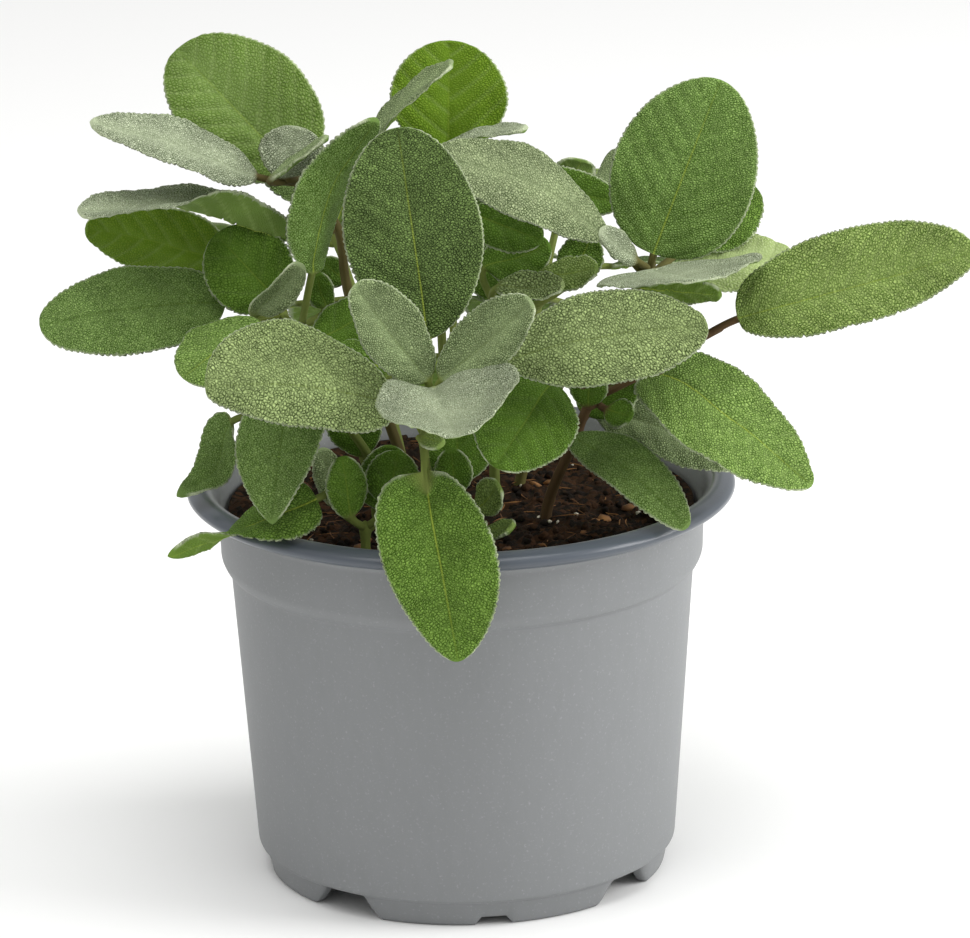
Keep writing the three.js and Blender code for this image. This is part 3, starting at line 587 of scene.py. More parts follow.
def leaf_mesh(leaf, pitch, blush, seed):
    """A leaf in full detail: quilted between sunken veins above, ribbed below, with a scalloped edge."""
    look = LOOKS[leaf.look]
    length = np.linalg.norm(np.subtract(leaf.tip, leaf.base))
    stalk_length = np.linalg.norm(np.subtract(leaf.base, leaf.stem))
    stalk_rows = max(5, round(stalk_length / STALK_PITCH))
    blade_rows = max(12, round(length / pitch))
    top_columns = 2 * max(5, round(leaf.width / pitch / 3))
    under_columns = 2 * max(3, round(top_columns / 4))
    mesh, row, column = round_shell(stalk_rows + blade_rows, top_columns + under_columns)
    above = column < top_columns

    # Where each point is: along the blade, and from -1 at its left edge to 1 at its right one
    share = np.clip((row - stalk_rows) / blade_rows, 0, 1)
    along = share - TIP_CROWDING * np.sin(math.tau * share)
    place = np.where(row < stalk_rows, row / stalk_rows / 3, (1 + 2 * along) / 3)
    sweep = np.where(above, 2 * column / top_columns - 1, 1 - 2 * (column - top_columns) / under_columns)

    # The outline, from a round stalk to a wide blade with scallops
    skew = (leaf.skew + OWN_SKEW * (scatter(seed, 1, 7) - 0.5)) * np.sign(sweep)
    half = np.maximum(blade_half_width(along, leaf, skew), STALK_HALF_WIDTH * (1 - along)) * (row > 0)
    spread = smoothstep(half, STALK_HALF_WIDTH, FULL_HALF_WIDTH)
    s = np.sin(math.pi / 2 * sweep) * (1 - spread) + sweep * spread
    edge = np.abs(s) ** (2 + EDGE_THINNING * np.maximum(half - STALK_HALF_WIDTH, 0))
    y = along * length
    tooth = np.abs(np.sin(math.pi * (y + 0.5 * (s > 0)) / TOOTH_PITCH)) - TOOTH_MEAN
    x = (s + leaf.lean * spread) * half + np.sign(s) * edge * tooth * TOOTH_DEPTH * spread

    # How far the fold, the ruffled edge, the quilting and soft swells lift the blade off its plane
    vein, wave = vein_lines(x, y, half)
    vein = vein * spread
    fold = np.arctan(leaf.fold) * spread * (1 - leaf.opens * smoothstep(along, 0.25, 0.65))
    rise = (np.hypot(x, CREASE_RADIUS) - CREASE_RADIUS) * np.sin(fold)
    ruffle = np.sin(math.tau * RUFFLE["waves"] * along + np.where(s > 0, 0, RUFFLE["offset"]))
    lift = rise + RUFFLE["height"] * s * s * ruffle * spread
    quilt = QUILT_HEIGHT * np.sin(math.pi * np.minimum(np.abs(s), 1))
    swell = SWELLING["height"] * swells(x / SWELLING["size"] + seed, y / SWELLING["size"], seed)
    ripple = RIPPLE_HEIGHT * wave * smoothstep(np.abs(s), 0, 0.3)
    lift = lift + (quilt + swell - ripple) * spread

    # Its thickness, less the sunken veins above, and with the ribs below
    body = np.sqrt(np.maximum(1 - edge, 0))
    thick = STALK_HALF_THICKNESS * (1 - spread) + BLADE_HALF_THICKNESS * spread
    thick = thick * (row > 0) * np.minimum(1, (1 - along) * length / TIP_ROUNDING)
    groove = np.exp(-((x / (3 * MIDRIB_HALF_WIDTH)) ** 2)) * (1 - along) ** 0.6 * spread
    rib = RIB_HEIGHT * np.exp(-((x / RIB_HALF_WIDTH) ** 2)) * (1 - along) * spread
    over = (thick - VEIN_DEPTH * vein - MIDRIB_DEPTH * groove) * body
    below = (thick + rib + VEIN_RIDGE * vein) * body
    z = lift * (row > 0) + np.where(above, over, -below)

    # Its place round the leaf's middle line, with the lobes drawn back
    back = leaf.lobe * s * s * np.exp(-LOBE_FADING * along)
    centre, ahead, side, up = leaf_axes(leaf, place, along)
    points = centre + side * (x * np.cos(fold))[:, None] + up * z[:, None] - ahead * back[:, None]
    set_points(mesh, points)

    # What the materials need to know
    pattern = np.stack([*pebble_places(x, y - back, seed), x], 1)
    mesh.attributes.new("blade", "FLOAT_VECTOR", "POINT").data.foreach_set("vector", pattern.ravel())
    rough = np.where(above, 1 - look.smooth * np.exp(-((s / SMOOTH_HALF_SHARE) ** 2)), UNDERSIDE_RELIEF)
    margin = 1 - smoothstep((1 - np.abs(s)) * half, 0, RIM_WIDTH)
    set_fields(
        mesh,
        rough=rough * smoothstep(half, STALK_HALF_WIDTH, 3),
        vein=vein,
        rib=np.where(above, look.midrib, 1) * (1 - along) ** 0.7,
        rim=margin * smoothstep(half, 1.3, 2.5),
        under=~above,
        stalk=(1 - smoothstep(half, 1.2, 3.2)) * (along < 0.5),
        blush=blush,
        tone=scatter(seed, 3, 1),
    )
    return mesh


def stem_mesh(shoot, seed):
    """A softly square stem that swells where each leaf leaves it, and is rounded off at its top."""
    line = [(*shoot.foot, STEM_FOOT_HEIGHT), (*shoot.foot, STEM_COLLAR_HEIGHT), *shoot.points]
    length = sum(math.dist(a, b) for a, b in zip(line, line[1:]))
    rows = round(length / STEM_PITCH)
    mesh, row, column = round_shell(rows, STEM_COLUMNS)
    place = row / rows
    centre, ahead = spline(line, place)
    across = unit(np.cross((1.0, 0.0, 0.0), ahead))
    other = np.cross(ahead, across)
    angle = column / STEM_COLUMNS * math.tau
    radius = STEM_RADIUS["foot"] + (STEM_RADIUS["top"] - STEM_RADIUS["foot"]) * place
    for grown in shoot.leaves:
        distance = np.linalg.norm(centre - np.array(grown.stem), axis=1)
        radius = radius + NODE_SWELLING["height"] * np.exp(-((distance / NODE_SWELLING["reach"]) ** 2))
    radius = radius * (1 + STEM_SQUARENESS * np.cos(4 * angle))
    radius = radius * np.sqrt(np.clip((1 - place) * length / STEM_TOP_ROUNDING, 0, 1)) * (row > 0)
    spoke = across * np.cos(angle)[:, None] + other * np.sin(angle)[:, None]
    set_points(mesh, centre + spoke * radius[:, None])
    set_fields(mesh, stalk=1, blush=shoot.blush, tone=scatter(seed, 5, 1))
    return mesh


def add_shoot(name, plan, number):
    """Builds the stem and leaves of a shoot as one piece. The finish of the stem, deep, comes first."""
    finishes = ["deep_and_shaded", *dict.fromkeys(grown.look for grown in plan.leaves if grown.look != "deep_and_shaded")]
    meshes = [stem_mesh(plan, number)]
    for count, grown in enumerate(plan.leaves):
        mesh = leaf_mesh(grown, plan.pitch, plan.blush, number * SEEDS_PER_SHOOT + count)
        slots = np.full(len(mesh.polygons), finishes.index(grown.look), np.int32)
        mesh.polygons.foreach_set("material_index", slots)
        meshes.append(mesh)
    mesh = joined(name, meshes)
    mesh.shade_smooth()
    add_piece(f"{name}_grown", mesh, [SAGE[look] for look in finishes], name, "sage_foliage")


def rounded(corners, radius, steps=3):
    """The corners of an outline, each but the first and last eased by a short curve."""
    outline = [Vector(corners[0])]
    for before, corner, after in zip(corners, corners[1:], corners[2:]):
        before, corner, after = Vector(before), Vector(corner), Vector(after)
        reach = [min(radius, (corner - other).length * 0.45) for other in (before, after)]
        start = corner + (before - corner).normalized() * reach[0]
        end = corner + (after - corner).normalized() * reach[1]
        for step in range(steps + 1):
            t = step / steps
            outline.append(start * (1 - t) ** 2 + corner * 2 * t * (1 - t) + end * t * t)
    return [*outline, Vector(corners[-1])]


def cut_height(angle, middle, bottom, top, height):
    """How high a cut in the foot ring reaches at an angle: its flanks lean, and are eased at the foot."""
    distance = abs((angle - middle + 180) % 360 - 180) * math.radians(1) * FOOT_OUTER_RADIUS
    share = min(max((bottom / 2 - distance) / ((bottom - top) / 2), 0), 1)
    return height * share**1.5


def foot_lift(x, y):
    """How far the lower edge of the foot ring is above the ground."""
    angle = math.degrees(math.atan2(y, x))
    lift = 0
    for foot in range(FOOT_COUNT):
        middle = FOOT_TURN - 90 + foot * 360 / FOOT_COUNT
        gap = middle + 180 / FOOT_COUNT
        notch = cut_height(angle, middle, **FOOT_NOTCH)
        lift = max(lift, notch, cut_height(angle, gap, **FOOT_GAP, height=FLOOR_BOTTOM - 0.15))
    return lift


def make_pot():
    """The pot: its outline spun round its axis, with the lower edge of its foot ring cut into feet."""
    corners = [
        (0, 0),
        (GATE_PAD_RADIUS, 0),
        (GATE_PAD_RADIUS + 0.6, FLOOR_BOTTOM),
        (FOOT_OUTER_RADIUS - FOOT_THICKNESS, FLOOR_BOTTOM),
        (FOOT_OUTER_RADIUS - FOOT_THICKNESS, 0),
        (FOOT_OUTER_RADIUS, 0),
        (FOOT_OUTER_RADIUS + 1.3, FOOT_HEIGHT - 0.4),
        (BODY_BOTTOM_RADIUS - 0.4, FOOT_HEIGHT),
        (BODY_BOTTOM_RADIUS, FOOT_HEIGHT + 0.6),
        (BODY_TOP_RADIUS, STEP_HEIGHT - 0.8),
        (BAND_RADIUS - 1.4, STEP_HEIGHT),
        (BAND_RADIUS - 0.4, STEP_HEIGHT + 2.2),
        (BAND_RADIUS, LIP_BOTTOM - 2.5),
        (BAND_RADIUS + 1.6, LIP_BOTTOM - 0.3),
        (RIM_RADIUS - 1.6, LIP_BOTTOM),
        (RIM_RADIUS, LIP_BOTTOM + 1.5),
        (RIM_RADIUS - 0.8, LIP_TOP - 0.9),
        (RIM_RADIUS - 3.4, LIP_TOP),
        (RIM_RADIUS - 5.2, LIP_TOP - 0.2),
        (RIM_RADIUS - 6.6, LIP_TOP - 1.6),
        (BAND_RADIUS - WALL, LIP_BOTTOM - 2.5),
        (BAND_RADIUS - 1.6 - WALL, STEP_HEIGHT + 1.5),
        (BODY_TOP_RADIUS - WALL, STEP_HEIGHT - 1),
        (BODY_BOTTOM_RADIUS - WALL, FLOOR_TOP),
        (0, FLOOR_TOP),
    ]
    bm = bmesh.new()
    outline = [bm.verts.new((radius, 0, height)) for radius, height in rounded(corners, 0.9)]
    edges = [bm.edges.new(pair) for pair in zip(outline, outline[1:])]
    bmesh.ops.spin(
        bm, geom=outline + edges, cent=(0, 0, 0), axis=(0, 0, 1), dvec=(0, 0, 0), angle=math.tau,
        steps=POT_STEPS, use_merge=True, use_duplicate=False,
    )
    bmesh.ops.remove_doubles(bm, verts=bm.verts, dist=1e-4)
    bmesh.ops.recalc_face_normals(bm, faces=bm.faces)
    for vert in bm.verts:
        radius = math.hypot(vert.co.x, vert.co.y)
        if FOOT_OUTER_RADIUS - FOOT_THICKNESS - 1 < radius and vert.co.z < FLOOR_BOTTOM:
            lift = foot_lift(vert.co.x, vert.co.y)
            vert.co.z = lift + vert.co.z * (1 - lift / FLOOR_BOTTOM)
    mesh = drilled(made_mesh("pot_moulded", bm))
    mesh.shade_smooth()
    mesh.set_sharp_from_angle(angle=math.radians(40))
    add_piece("pot_moulded", mesh, [moulded_plastic()], "pot", "pot_plastic")


def drilled(mesh):
    """The pot with its drain holes cut through the floor."""
    bm = bmesh.new()
    for foot in range(FOOT_COUNT):
        angle = math.radians(FOOT_TURN - 90 + (foot + 0.5) * 360 / FOOT_COUNT)
        x, y = DRAIN_RING_RADIUS * math.cos(angle), DRAIN_RING_RADIUS * math.sin(angle)
        place = Matrix.Translation((x, y, (FLOOR_BOTTOM + FLOOR_TOP) / 2))
        bmesh.ops.create_cone(
            bm, cap_ends=True, segments=40, radius1=DRAIN_RADIUS, radius2=DRAIN_RADIUS, depth=4,
            matrix=place,
        )
    drills = made_mesh("drills", bm)
    pot, cutter = add_object("cutting", mesh), add_object("cutter", drills)
    cut = pot.modifiers.new("drain holes", "BOOLEAN")
    cut.operation, cut.solver, cut.object = "DIFFERENCE", "MANIFOLD", cutter
    bpy.context.view_layer.update()
    whole = bpy.data.meshes.new_from_object(pot.evaluated_get(bpy.context.evaluated_depsgraph_get()))
    whole.materials.clear()
    for item in (pot, cutter):
        bpy.data.objects.remove(item)
    for data in (mesh, drills):
        bpy.data.meshes.remove(data)
    return whole


def soil_height(x, y):
    """The top of the soil: soft mounds with crumbs of peat on them, a little sunken inside the wall."""
    radius = np.hypot(x, y)
    mound = SOIL_EDGE_HEIGHT - 1.5 * (1 - (radius / SOIL_RADIUS) ** 4)
    rough = 1.1 * swells(x / 9, y / 9, 2) + 0.7 * swells(x / 3.6, y / 3.6, 3)
    crumbs = 0.9 * domes(x / 2.6, y / 2.6, 0.9, 4) + 0.5 * domes(x / 1.3, y / 1.3, 0.9, 6)
    return mound + (rough + crumbs) * (1 - smoothstep(radius, SOIL_RADIUS - 3, SOIL_RADIUS))


def make_soil():
    """The soil: a round bed that tapers down to its foot, with loose bits on top."""
    bm = bmesh.new()
    bmesh.ops.create_grid(bm, x_segments=SOIL_STEPS, y_segments=SOIL_STEPS, size=1)
    rim = [edge for edge in bm.edges if edge.is_boundary]
    wall = bmesh.ops.extrude_edge_only(bm, edges=rim)["geom"]
    low = {item for item in wall if isinstance(item, bmesh.types.BMVert)}
    # The square grid is drawn into a disc
    for vert in bm.verts:
        x, y = vert.co.x, vert.co.y
        vert.co.x = SOIL_RADIUS * x * math.sqrt(1 - y * y / 2)
        vert.co.y = SOIL_RADIUS * y * math.sqrt(1 - x * x / 2)
    bm.verts.index_update()
    flat = np.array([vert.co[:2] for vert in bm.verts])
    for vert, height in zip(bm.verts, soil_height(*flat.T)):
        vert.co.z = height
    for vert in low:
        vert.co.x *= SOIL_FOOT_RADIUS / SOIL_RADIUS
        vert.co.y *= SOIL_FOOT_RADIUS / SOIL_RADIUS
        vert.co.z = SOIL_BOTTOM
    bmesh.ops.holes_fill(bm, edges=[edge for edge in bm.edges if edge.is_boundary], sides=0)
    bmesh.ops.recalc_face_normals(bm, faces=bm.faces)
    bed = made_mesh("bed", bm)
    bed.shade_smooth()
    mesh = joined("soil_loose", [bed, *litter()])
    add_piece("soil_loose", mesh, [peat(), wood_fibre(), perlite()], "soil", "potting_soil")


def litter():
    """Crumbs, chips of bark, grains of perlite and fibres that lie on the soil."""
    random = np.random.default_rng(11)
    for kind in LITTER.values():
        for _ in range(kind["count"]):
            yield loose_bit(random, kind)
    for _ in range(FIBRE["count"]):
        yield loose_fibre(random)


def lying_place(random):
    """A random place on top of the soil."""
    radius = (SOIL_RADIUS - 3) * math.sqrt(random.uniform(0, 1))
    angle = random.uniform(0, math.tau)
    x, y = radius * math.cos(angle), radius * math.sin(angle)
    return x, y, float(soil_height(np.array([x]), np.array([y]))[0])


def loose_bit(random, kind):
    """A crumb, chip or grain: a small ball with an uneven surface, flattened, tilted and turned."""
    place = Matrix.Translation(lying_place(random))
    bm = bmesh.new()
    bmesh.ops.create_icosphere(bm, subdivisions=kind["facets"], radius=random.uniform(*kind["radii"]))
    squash = Matrix.Diagonal((1, random.uniform(0.5, 0.9), kind["flatness"], 1))
    spin = Matrix.Rotation(random.uniform(0, math.tau), 4, "Z")
    tilt = Matrix.Rotation(random.uniform(-0.5, 0.5), 4, "X")
    for vert in bm.verts:
        vert.co *= random.uniform(0.78, 1.1)
    bmesh.ops.transform(bm, matrix=place @ spin @ tilt @ squash, verts=bm.verts)
    mesh = made_mesh("loose", bm)
    mesh.polygons.foreach_set("material_index", np.full(len(mesh.polygons), kind["finish"], np.int32))
    mesh.shade_smooth()
    return mesh


def loose_fibre(random):
    """A bent fibre, pointed at both ends, whose middle may stand a little off the soil."""
    place = np.array(lying_place(random))
    heading = random.uniform(0, math.tau)
    length = random.uniform(*FIBRE["lengths"])
    mesh, row, column = round_shell(FIBRE["rows"], FIBRE["columns"])
    t = row / FIBRE["rows"] - 0.5
    x = t * length
    across = random.uniform(-0.5, 0.5) * length * t * t
    lift = random.uniform(0.1, 0.5) + random.uniform(0, 1.2) * (0.25 - t * t)
    radius = FIBRE["radius"] * np.sqrt(np.maximum(1 - 4 * t * t, 0))
    angle = column / FIBRE["columns"] * math.tau
    east, north = math.cos(heading), math.sin(heading)
    line = np.stack([x * east - across * north, x * north + across * east, lift], 1)
    spoke = np.stack([-north * np.cos(angle), east * np.cos(angle), np.sin(angle)], 1)
    set_points(mesh, place + line + spoke * radius[:, None])
    mesh.polygons.foreach_set("material_index", np.ones(len(mesh.polygons), np.int32))
    return mesh


# Settings of nodes. A Mix node has its share on socket 0, and mixes the numbers on 2 and 3, or the colours on
# 6 and 7.
COLOURS = {"output": 2, "data_type": "RGBA"}
EASED = {"interpolation_type": "SMOOTHSTEP"}


def node(tree, kind, inputs, output=0, **settings):
    """Adds a node and returns its output. settings are its properties, and inputs gives its sockets a value
    or a link."""
    made = tree.nodes.new("ShaderNode" + kind)
    for name, value in settings.items():
        setattr(made, name, value)
    for socket, value in inputs.items():
        if isinstance(value, bpy.types.NodeSocket):
            tree.links.new(value, made.inputs[socket])
        else:
            made.inputs[socket].default_value = value
    return made.outputs[output]


def new_material(name):
    """A material, its empty node tree, and the Object coordinates there."""
    material = bpy.data.materials.new(name)
    material.use_nodes = True
    tree = material.node_tree
    tree.nodes.clear()
    return material, tree, node(tree, "TexCoord", {}, "Object")


def finish(tree, surface):
    """Gives a material its surface."""
    tree.links.new(surface, tree.nodes.new("ShaderNodeOutputMaterial").inputs["Surface"])


def per_metre(size):
    """The scale of a noise whose features are size millimetres."""
    return 1 / (size * MM)


def sage_leaf(name, look):
    """Sage leaf: a soft, dull surface. Fine white hairs grey its raised pebbles, together with a painted
    highlight there, and light up its edge. The grooves between the pebbles stay green, darkened partly by
    painted shade, and thin blades let some light through."""
    material, tree, place = new_material(f"sage_leaf_{name}")
    field = {key: node(tree, "Attribute", {}, "Fac", attribute_name=key) for key in FIELDS}
    blade = node(tree, "Attribute", {}, "Vector", attribute_name="blade")
    blotch = node(tree, "TexNoise", {"Vector": place, "Scale": per_metre(9), "Detail": 3})
    hairs = node(tree, "TexNoise", {"Vector": place, "Scale": per_metre(0.3), "Detail": 3})

    # Pebbles: a dome each, a pale crest, and grooves dark partly with painted shade, some of them filled
    warp = node(tree, "TexNoise", {"Vector": blade, "Scale": 0.9, "Detail": 2}, "Color")
    warped = node(tree, "VectorMath", {0: warp, 1: [PEBBLE_WARP] * 3, 2: blade}, operation="MULTIPLY_ADD")
    cells = {"Vector": warped, "Scale": 1 / look.cell, "Randomness": PEBBLE_JITTER}
    gap = node(tree, "TexVoronoi", cells, voronoi_dimensions="2D", feature="DISTANCE_TO_EDGE")
    dome = node(tree, "MapRange", {"Value": gap, "From Max": DOME_WIDTH}, **EASED)
    crest = node(tree, "MapRange", {"Value": gap, "From Max": GROOVE_WIDTH}, **EASED)
    filled = node(tree, "TexNoise", {"Vector": warped, "Scale": 0.8 / look.cell, "Detail": 1})
    filled = node(tree, "MapRange", {"Value": filled, "From Min": 0.42, "From Max": 0.66, "To Max": 0.58})
    crest = node(tree, "Math", {0: crest, 1: filled}, operation="MAXIMUM")
    # Towards the sunken midrib the crest fades to the groove colour: a darker crease, partly painted shade
    across = node(tree, "SeparateXYZ", {0: blade}, 2)
    off = node(tree, "Math", {0: across}, operation="ABSOLUTE")
    seam = node(tree, "MapRange", {"Value": off, "From Max": 2 * MIDRIB_HALF_WIDTH, "To Min": 0.6})
    crest = node(tree, "Math", {0: crest, 1: seam}, operation="MULTIPLY")
    lot = node(tree, "TexVoronoi", cells, "Color", voronoi_dimensions="2D")
    lot = node(tree, "SeparateColor", {0: lot})
    lot = node(tree, "MapRange", {"Value": lot, "To Min": 0.75, "To Max": 1.15})
    crest = node(tree, "Math", {0: crest, 1: lot}, operation="MULTIPLY")
    crest = node(tree, "Mix", {0: field["rough"], 2: 0.45, 3: crest})

    # Flesh, with painted shade in its grooves, side veins, underside and midrib
    flesh = node(tree, "Mix", {0: crest, 6: linear(look.groove), 7: linear(look.crest)}, **COLOURS)
    paler = node(tree, "Math", {0: field["vein"], 1: look.vein}, operation="MULTIPLY")
    flesh = node(tree, "Mix", {0: paler, 6: flesh, 7: linear(SIDE_VEIN)}, **COLOURS)
    under = node(tree, "Mix", {0: field["vein"], 6: linear(UNDERSIDE), 7: linear(UNDERSIDE_VEIN)}, **COLOURS)
    colour = node(tree, "Mix", {0: field["under"], 6: flesh, 7: under}, **COLOURS)
    rib = node(tree, "MapRange", {"Value": off, "From Min": MIDRIB_HALF_WIDTH, "From Max": 0}, **EASED)
    rib = node(tree, "Math", {0: rib, 1: field["rib"]}, operation="MULTIPLY")
    colour = node(tree, "Mix", {0: rib, 6: colour, 7: linear(MIDRIB)}, **COLOURS)

    # White on the crests, hairs and a painted highlight, and white hairs in the middle of the blade and along
    # its margin
    fuzz = node(tree, "MapRange", {
        "Value": hairs, "From Min": 0.35, "From Max": 0.75, "To Max": 2 * look.wool,
    })
    fuzz = node(tree, "Math", {0: fuzz, 1: crest}, operation="MULTIPLY")
    down = node(tree, "MapRange", {
        "Value": field["rough"], "From Min": 1, "From Max": 0, "To Max": look.down,
    })
    fuzz = node(tree, "Math", {0: fuzz, 1: down})
    bare = node(tree, "MapRange", {"Value": field["under"], "To Min": 1, "To Max": 0.25})
    fuzz = node(tree, "Math", {0: fuzz, 1: bare}, operation="MULTIPLY")
    white = node(tree, "Math", {0: field["rim"], 1: fuzz})
    colour = node(tree, "Mix", {0: white, 6: colour, 7: linear(HAIRS)}, **COLOURS)

    # Stalk, and shades of its own for each leaf and patch
    bark = node(tree, "Mix", {0: field["blush"], 6: linear(GREEN_STALK), 7: linear(PURPLE_STALK)}, **COLOURS)
    colour = node(tree, "Mix", {0: field["stalk"], 6: colour, 7: bark}, **COLOURS)
    shade = node(tree, "MapRange", {
        "Value": blotch, "From Min": 0.3, "From Max": 0.7, "To Min": 0.84, "To Max": 1.1,
    })
    own = node(tree, "MapRange", {"Value": field["tone"], "To Min": 0.93, "To Max": 1.07})
    value = node(tree, "Math", {0: shade, 1: own}, operation="MULTIPLY")
    colour = node(tree, "HueSaturation", {"Value": value, "Color": colour})

    # Relief of the pebbles and hairs, on a skin that lets some light through
    swell = node(tree, "Math", {0: dome, 1: field["rough"]}, operation="MULTIPLY")
    bump = node(tree, "Bump", {"Strength": 1, "Distance": look.relief * MM, "Height": swell})
    bump = node(tree, "Bump", {"Strength": 0.6, "Distance": 0.16 * MM, "Height": hairs, "Normal": bump})
    skin = node(tree, "BsdfPrincipled", {
        "Base Color": colour, "Roughness": 0.6, "IOR": 1.4, "Specular IOR Level": 0.1,
        "Sheen Weight": 0.04, "Sheen Roughness": 0.5, "Sheen Tint": linear(0xDDE6CC), "Normal": bump,
    })
    glow = node(tree, "Mix", {0: 0.5, 6: colour, 7: linear(GLOW)}, **COLOURS)
    glow = node(tree, "BsdfTranslucent", {"Color": glow})
    finish(tree, node(tree, "MixShader", {0: 0.18, 1: skin, 2: glow}))
    return material


def moulded_plastic():
    """Polypropylene, injection moulded from recycled grey stock: an even, half-dull grey with faint pale
    flecks and flow streaks, and a smoother rim where the mould is polished. The rim's dark blue-grey is
    partly its own colour and partly painted reflection, and its inner edge keeps the lighter grey as a
    painted highlight."""
    material, tree, place = new_material("moulded_polypropylene")
    # The dark rim, partly painted reflection: above the underside of the lip, and outside its inner edge,
    # which stays lighter grey as a painted highlight
    height = node(tree, "SeparateXYZ", {0: place}, 2)
    lip = node(tree, "MapRange", {
        "Value": height, "From Min": (LIP_BOTTOM - 1.5) * MM, "From Max": (LIP_BOTTOM + 0.2) * MM,
    })
    flat = node(tree, "Mapping", {"Vector": place, "Scale": (1, 1, 0)})
    radius = node(tree, "VectorMath", {0: flat}, 1, operation="LENGTH")
    outer = node(tree, "MapRange", {
        "Value": radius, "From Min": (RIM_RADIUS - 5.4) * MM, "From Max": (RIM_RADIUS - 3.8) * MM,
    })
    dark = node(tree, "Math", {0: lip, 1: outer}, operation="MULTIPLY")

    # Greys that differ little, with pale flecks and streaks that run up the wall
    upright = node(tree, "Mapping", {"Vector": place, "Scale": (1, 1, 0.3)})
    flecks = node(tree, "TexNoise", {"Vector": place, "Scale": per_metre(0.6), "Detail": 1})
    flecks = node(tree, "MapRange", {"Value": flecks, "From Min": 0.62, "From Max": 0.8, "To Max": 0.35})
    flow = node(tree, "TexNoise", {"Vector": upright, "Scale": per_metre(2.5), "Detail": 3})
    cloud = node(tree, "TexNoise", {"Vector": place, "Scale": per_metre(30), "Detail": 2})
    grey = node(tree, "Mix", {0: flow, 6: linear(0x757778), 7: linear(0x7F8183)}, **COLOURS)
    grey = node(tree, "Mix", {0: cloud, 6: grey, 7: linear(0x7B7D7E)}, **COLOURS)
    grey = node(tree, "Mix", {0: flecks, 6: grey, 7: linear(0xA4A6A7)}, **COLOURS)
    # The rim's dark blue-grey: partly its own colour, partly painted reflection
    colour = node(tree, "Mix", {0: dark, 6: grey, 7: linear(0x4D535B)}, **COLOURS)
    gloss = node(tree, "MapRange", {"Value": lip, "To Min": 0.52, "To Max": 0.28})
    grain = node(tree, "TexNoise", {"Vector": place, "Scale": per_metre(0.5), "Detail": 2})
    bump = node(tree, "Bump", {"Strength": 0.25, "Distance": 0.05 * MM, "Height": grain})
    finish(tree, node(tree, "BsdfPrincipled", {
        "Base Color": colour, "Roughness": gloss, "IOR": 1.49, "Normal": bump,
    }))
    return material


def peat():
    """Peat soil, moist: nearly black brown, with red-brown crumbs, dull all over."""
    material, tree, place = new_material("moist_peat")
    patch = node(tree, "TexNoise", {"Vector": place, "Scale": per_metre(7), "Detail": 4})
    crumb = node(tree, "TexVoronoi", {"Vector": place, "Scale": per_metre(1.6)}, "Color")
    crumb = node(tree, "SeparateColor", {0: crumb})
    share = node(tree, "Math", {0: patch, 1: crumb}, operation="MULTIPLY")
    share = node(tree, "MapRange", {"Value": share, "From Min": 0.12, "From Max": 0.5})
    colour = node(tree, "Mix", {0: share, 6: linear(0x17110B), 7: linear(0x3F2918)}, **COLOURS)
    grain = node(tree, "TexNoise", {"Vector": place, "Scale": per_metre(0.8), "Detail": 4})
    bump = node(tree, "Bump", {"Strength": 0.9, "Distance": 0.5 * MM, "Height": grain})
    finish(tree, node(tree, "BsdfPrincipled", {
        "Base Color": colour, "Roughness": 0.9, "Specular IOR Level": 0.15, "Normal": bump,
    }))
    return material


def wood_fibre():
    """Wood fibre and bark: dry, straw to red-brown."""
    material, tree, place = new_material("wood_fibre")
    patch = node(tree, "TexNoise", {"Vector": place, "Scale": per_metre(6), "Detail": 2})
    share = node(tree, "MapRange", {"Value": patch, "From Min": 0.35, "From Max": 0.7})
    colour = node(tree, "Mix", {0: share, 6: linear(0x4A2B14), 7: linear(0x9A6A36)}, **COLOURS)
    finish(tree, node(tree, "BsdfPrincipled", {"Base Color": colour, "Roughness": 0.8}))
    return material


def perlite():
    """Perlite: popped volcanic glass, chalky white and porous."""
    material, tree, place = new_material("perlite")
    pores = node(tree, "TexNoise", {"Vector": place, "Scale": per_metre(0.5), "Detail": 2})
    colour = node(tree, "Mix", {0: pores, 6: linear(0xA89F8A), 7: linear(0xE6E1D2)}, **COLOURS)
    finish(tree, node(tree, "BsdfPrincipled", {"Base Color": colour, "Roughness": 0.85}))
    return material


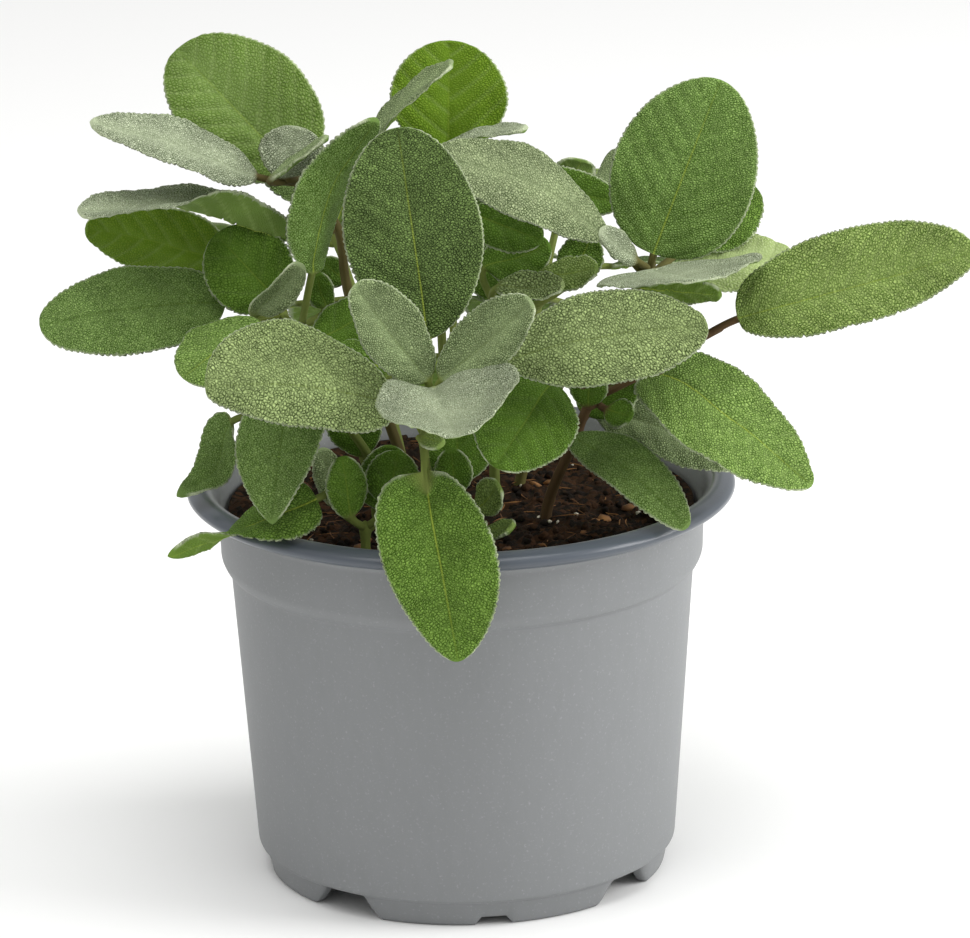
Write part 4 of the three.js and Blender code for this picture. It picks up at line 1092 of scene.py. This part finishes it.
def place_camera():
    """The camera of the photo: in front, looking down a little, and leaning a little to one side."""
    elevation, lean = math.radians(CAMERA_ELEVATION), math.radians(CAMERA_LEAN)
    forward = Vector((0, math.cos(elevation), -math.sin(elevation)))
    right = Vector((1, 0, 0))
    up = right.cross(forward)
    across = right * math.cos(lean) - up * math.sin(lean)
    upward = right * math.sin(lean) + up * math.cos(lean)
    camera = bpy.data.cameras.new("camera")
    camera.sensor_width = SENSOR_WIDTH
    camera.lens = FOCAL_PIXELS / FRAME_WIDTH * SENSOR_WIDTH
    camera.clip_start = 0.05
    holder = add_object("camera", camera)
    turn = Matrix((across, upward, -forward)).transposed().to_4x4()
    holder.matrix_world = Matrix.Translation(AIM - forward * CAMERA_DISTANCE) @ turn
    bpy.context.scene.camera = holder


def add_light(name, azimuth, elevation, distance, size, power):
    """A soft box that faces the plant. Azimuth 0 is in front, and 90 is to the right."""
    turn, rise = math.radians(azimuth), math.radians(elevation)
    way = Vector((math.sin(turn) * math.cos(rise), -math.cos(turn) * math.cos(rise), math.sin(rise)))
    light = bpy.data.lights.new(name, "AREA")
    light.shape = "DISK"
    light.size = size
    light.energy = power
    facing = way.to_track_quat("Z", "Y").to_matrix().to_4x4()
    add_object(name, light).matrix_world = Matrix.Translation(AIM + way * distance) @ facing


def light_studio():
    """Soft light from all sides, brighter from the right."""
    add_light("soft_box_right", azimuth=84, elevation=25, distance=1.3, size=0.9, power=14)
    add_light("soft_box_front", azimuth=-30, elevation=65, distance=1.6, size=1.2, power=8)
    add_light("soft_box_top", azimuth=20, elevation=85, distance=1.4, size=1.2, power=8)
    world = bpy.data.worlds.new("studio")
    world.use_nodes = True
    sky = world.node_tree.nodes["Background"].inputs
    sky["Color"].default_value = (1, 1, 1, 1)
    sky["Strength"].default_value = 0.62
    bpy.context.scene.world = world
    bpy.context.scene.view_settings.view_transform = "Standard"


def lay_floor():
    """A wide, matt white floor, which isn't part of the plant."""
    bm = bmesh.new()
    bmesh.ops.create_circle(bm, cap_ends=True, segments=96, radius=4)
    floor = made_mesh("floor", bm)
    material, tree, _ = new_material("white_floor")
    finish(tree, node(tree, "BsdfPrincipled", {
        "Base Color": linear(0xF4F4F3), "Roughness": 0.9, "Specular IOR Level": 0.1,
    }))
    floor.materials.append(material)
    add_object("floor", floor)


place_camera()
light_studio()
lay_floor()
SAGE = {name: sage_leaf(name, look) for name, look in LOOKS.items()}
make_pot()
make_soil()
for number, (name, plan) in enumerate(SHOOTS.items()):
    add_shoot(name, plan, number)
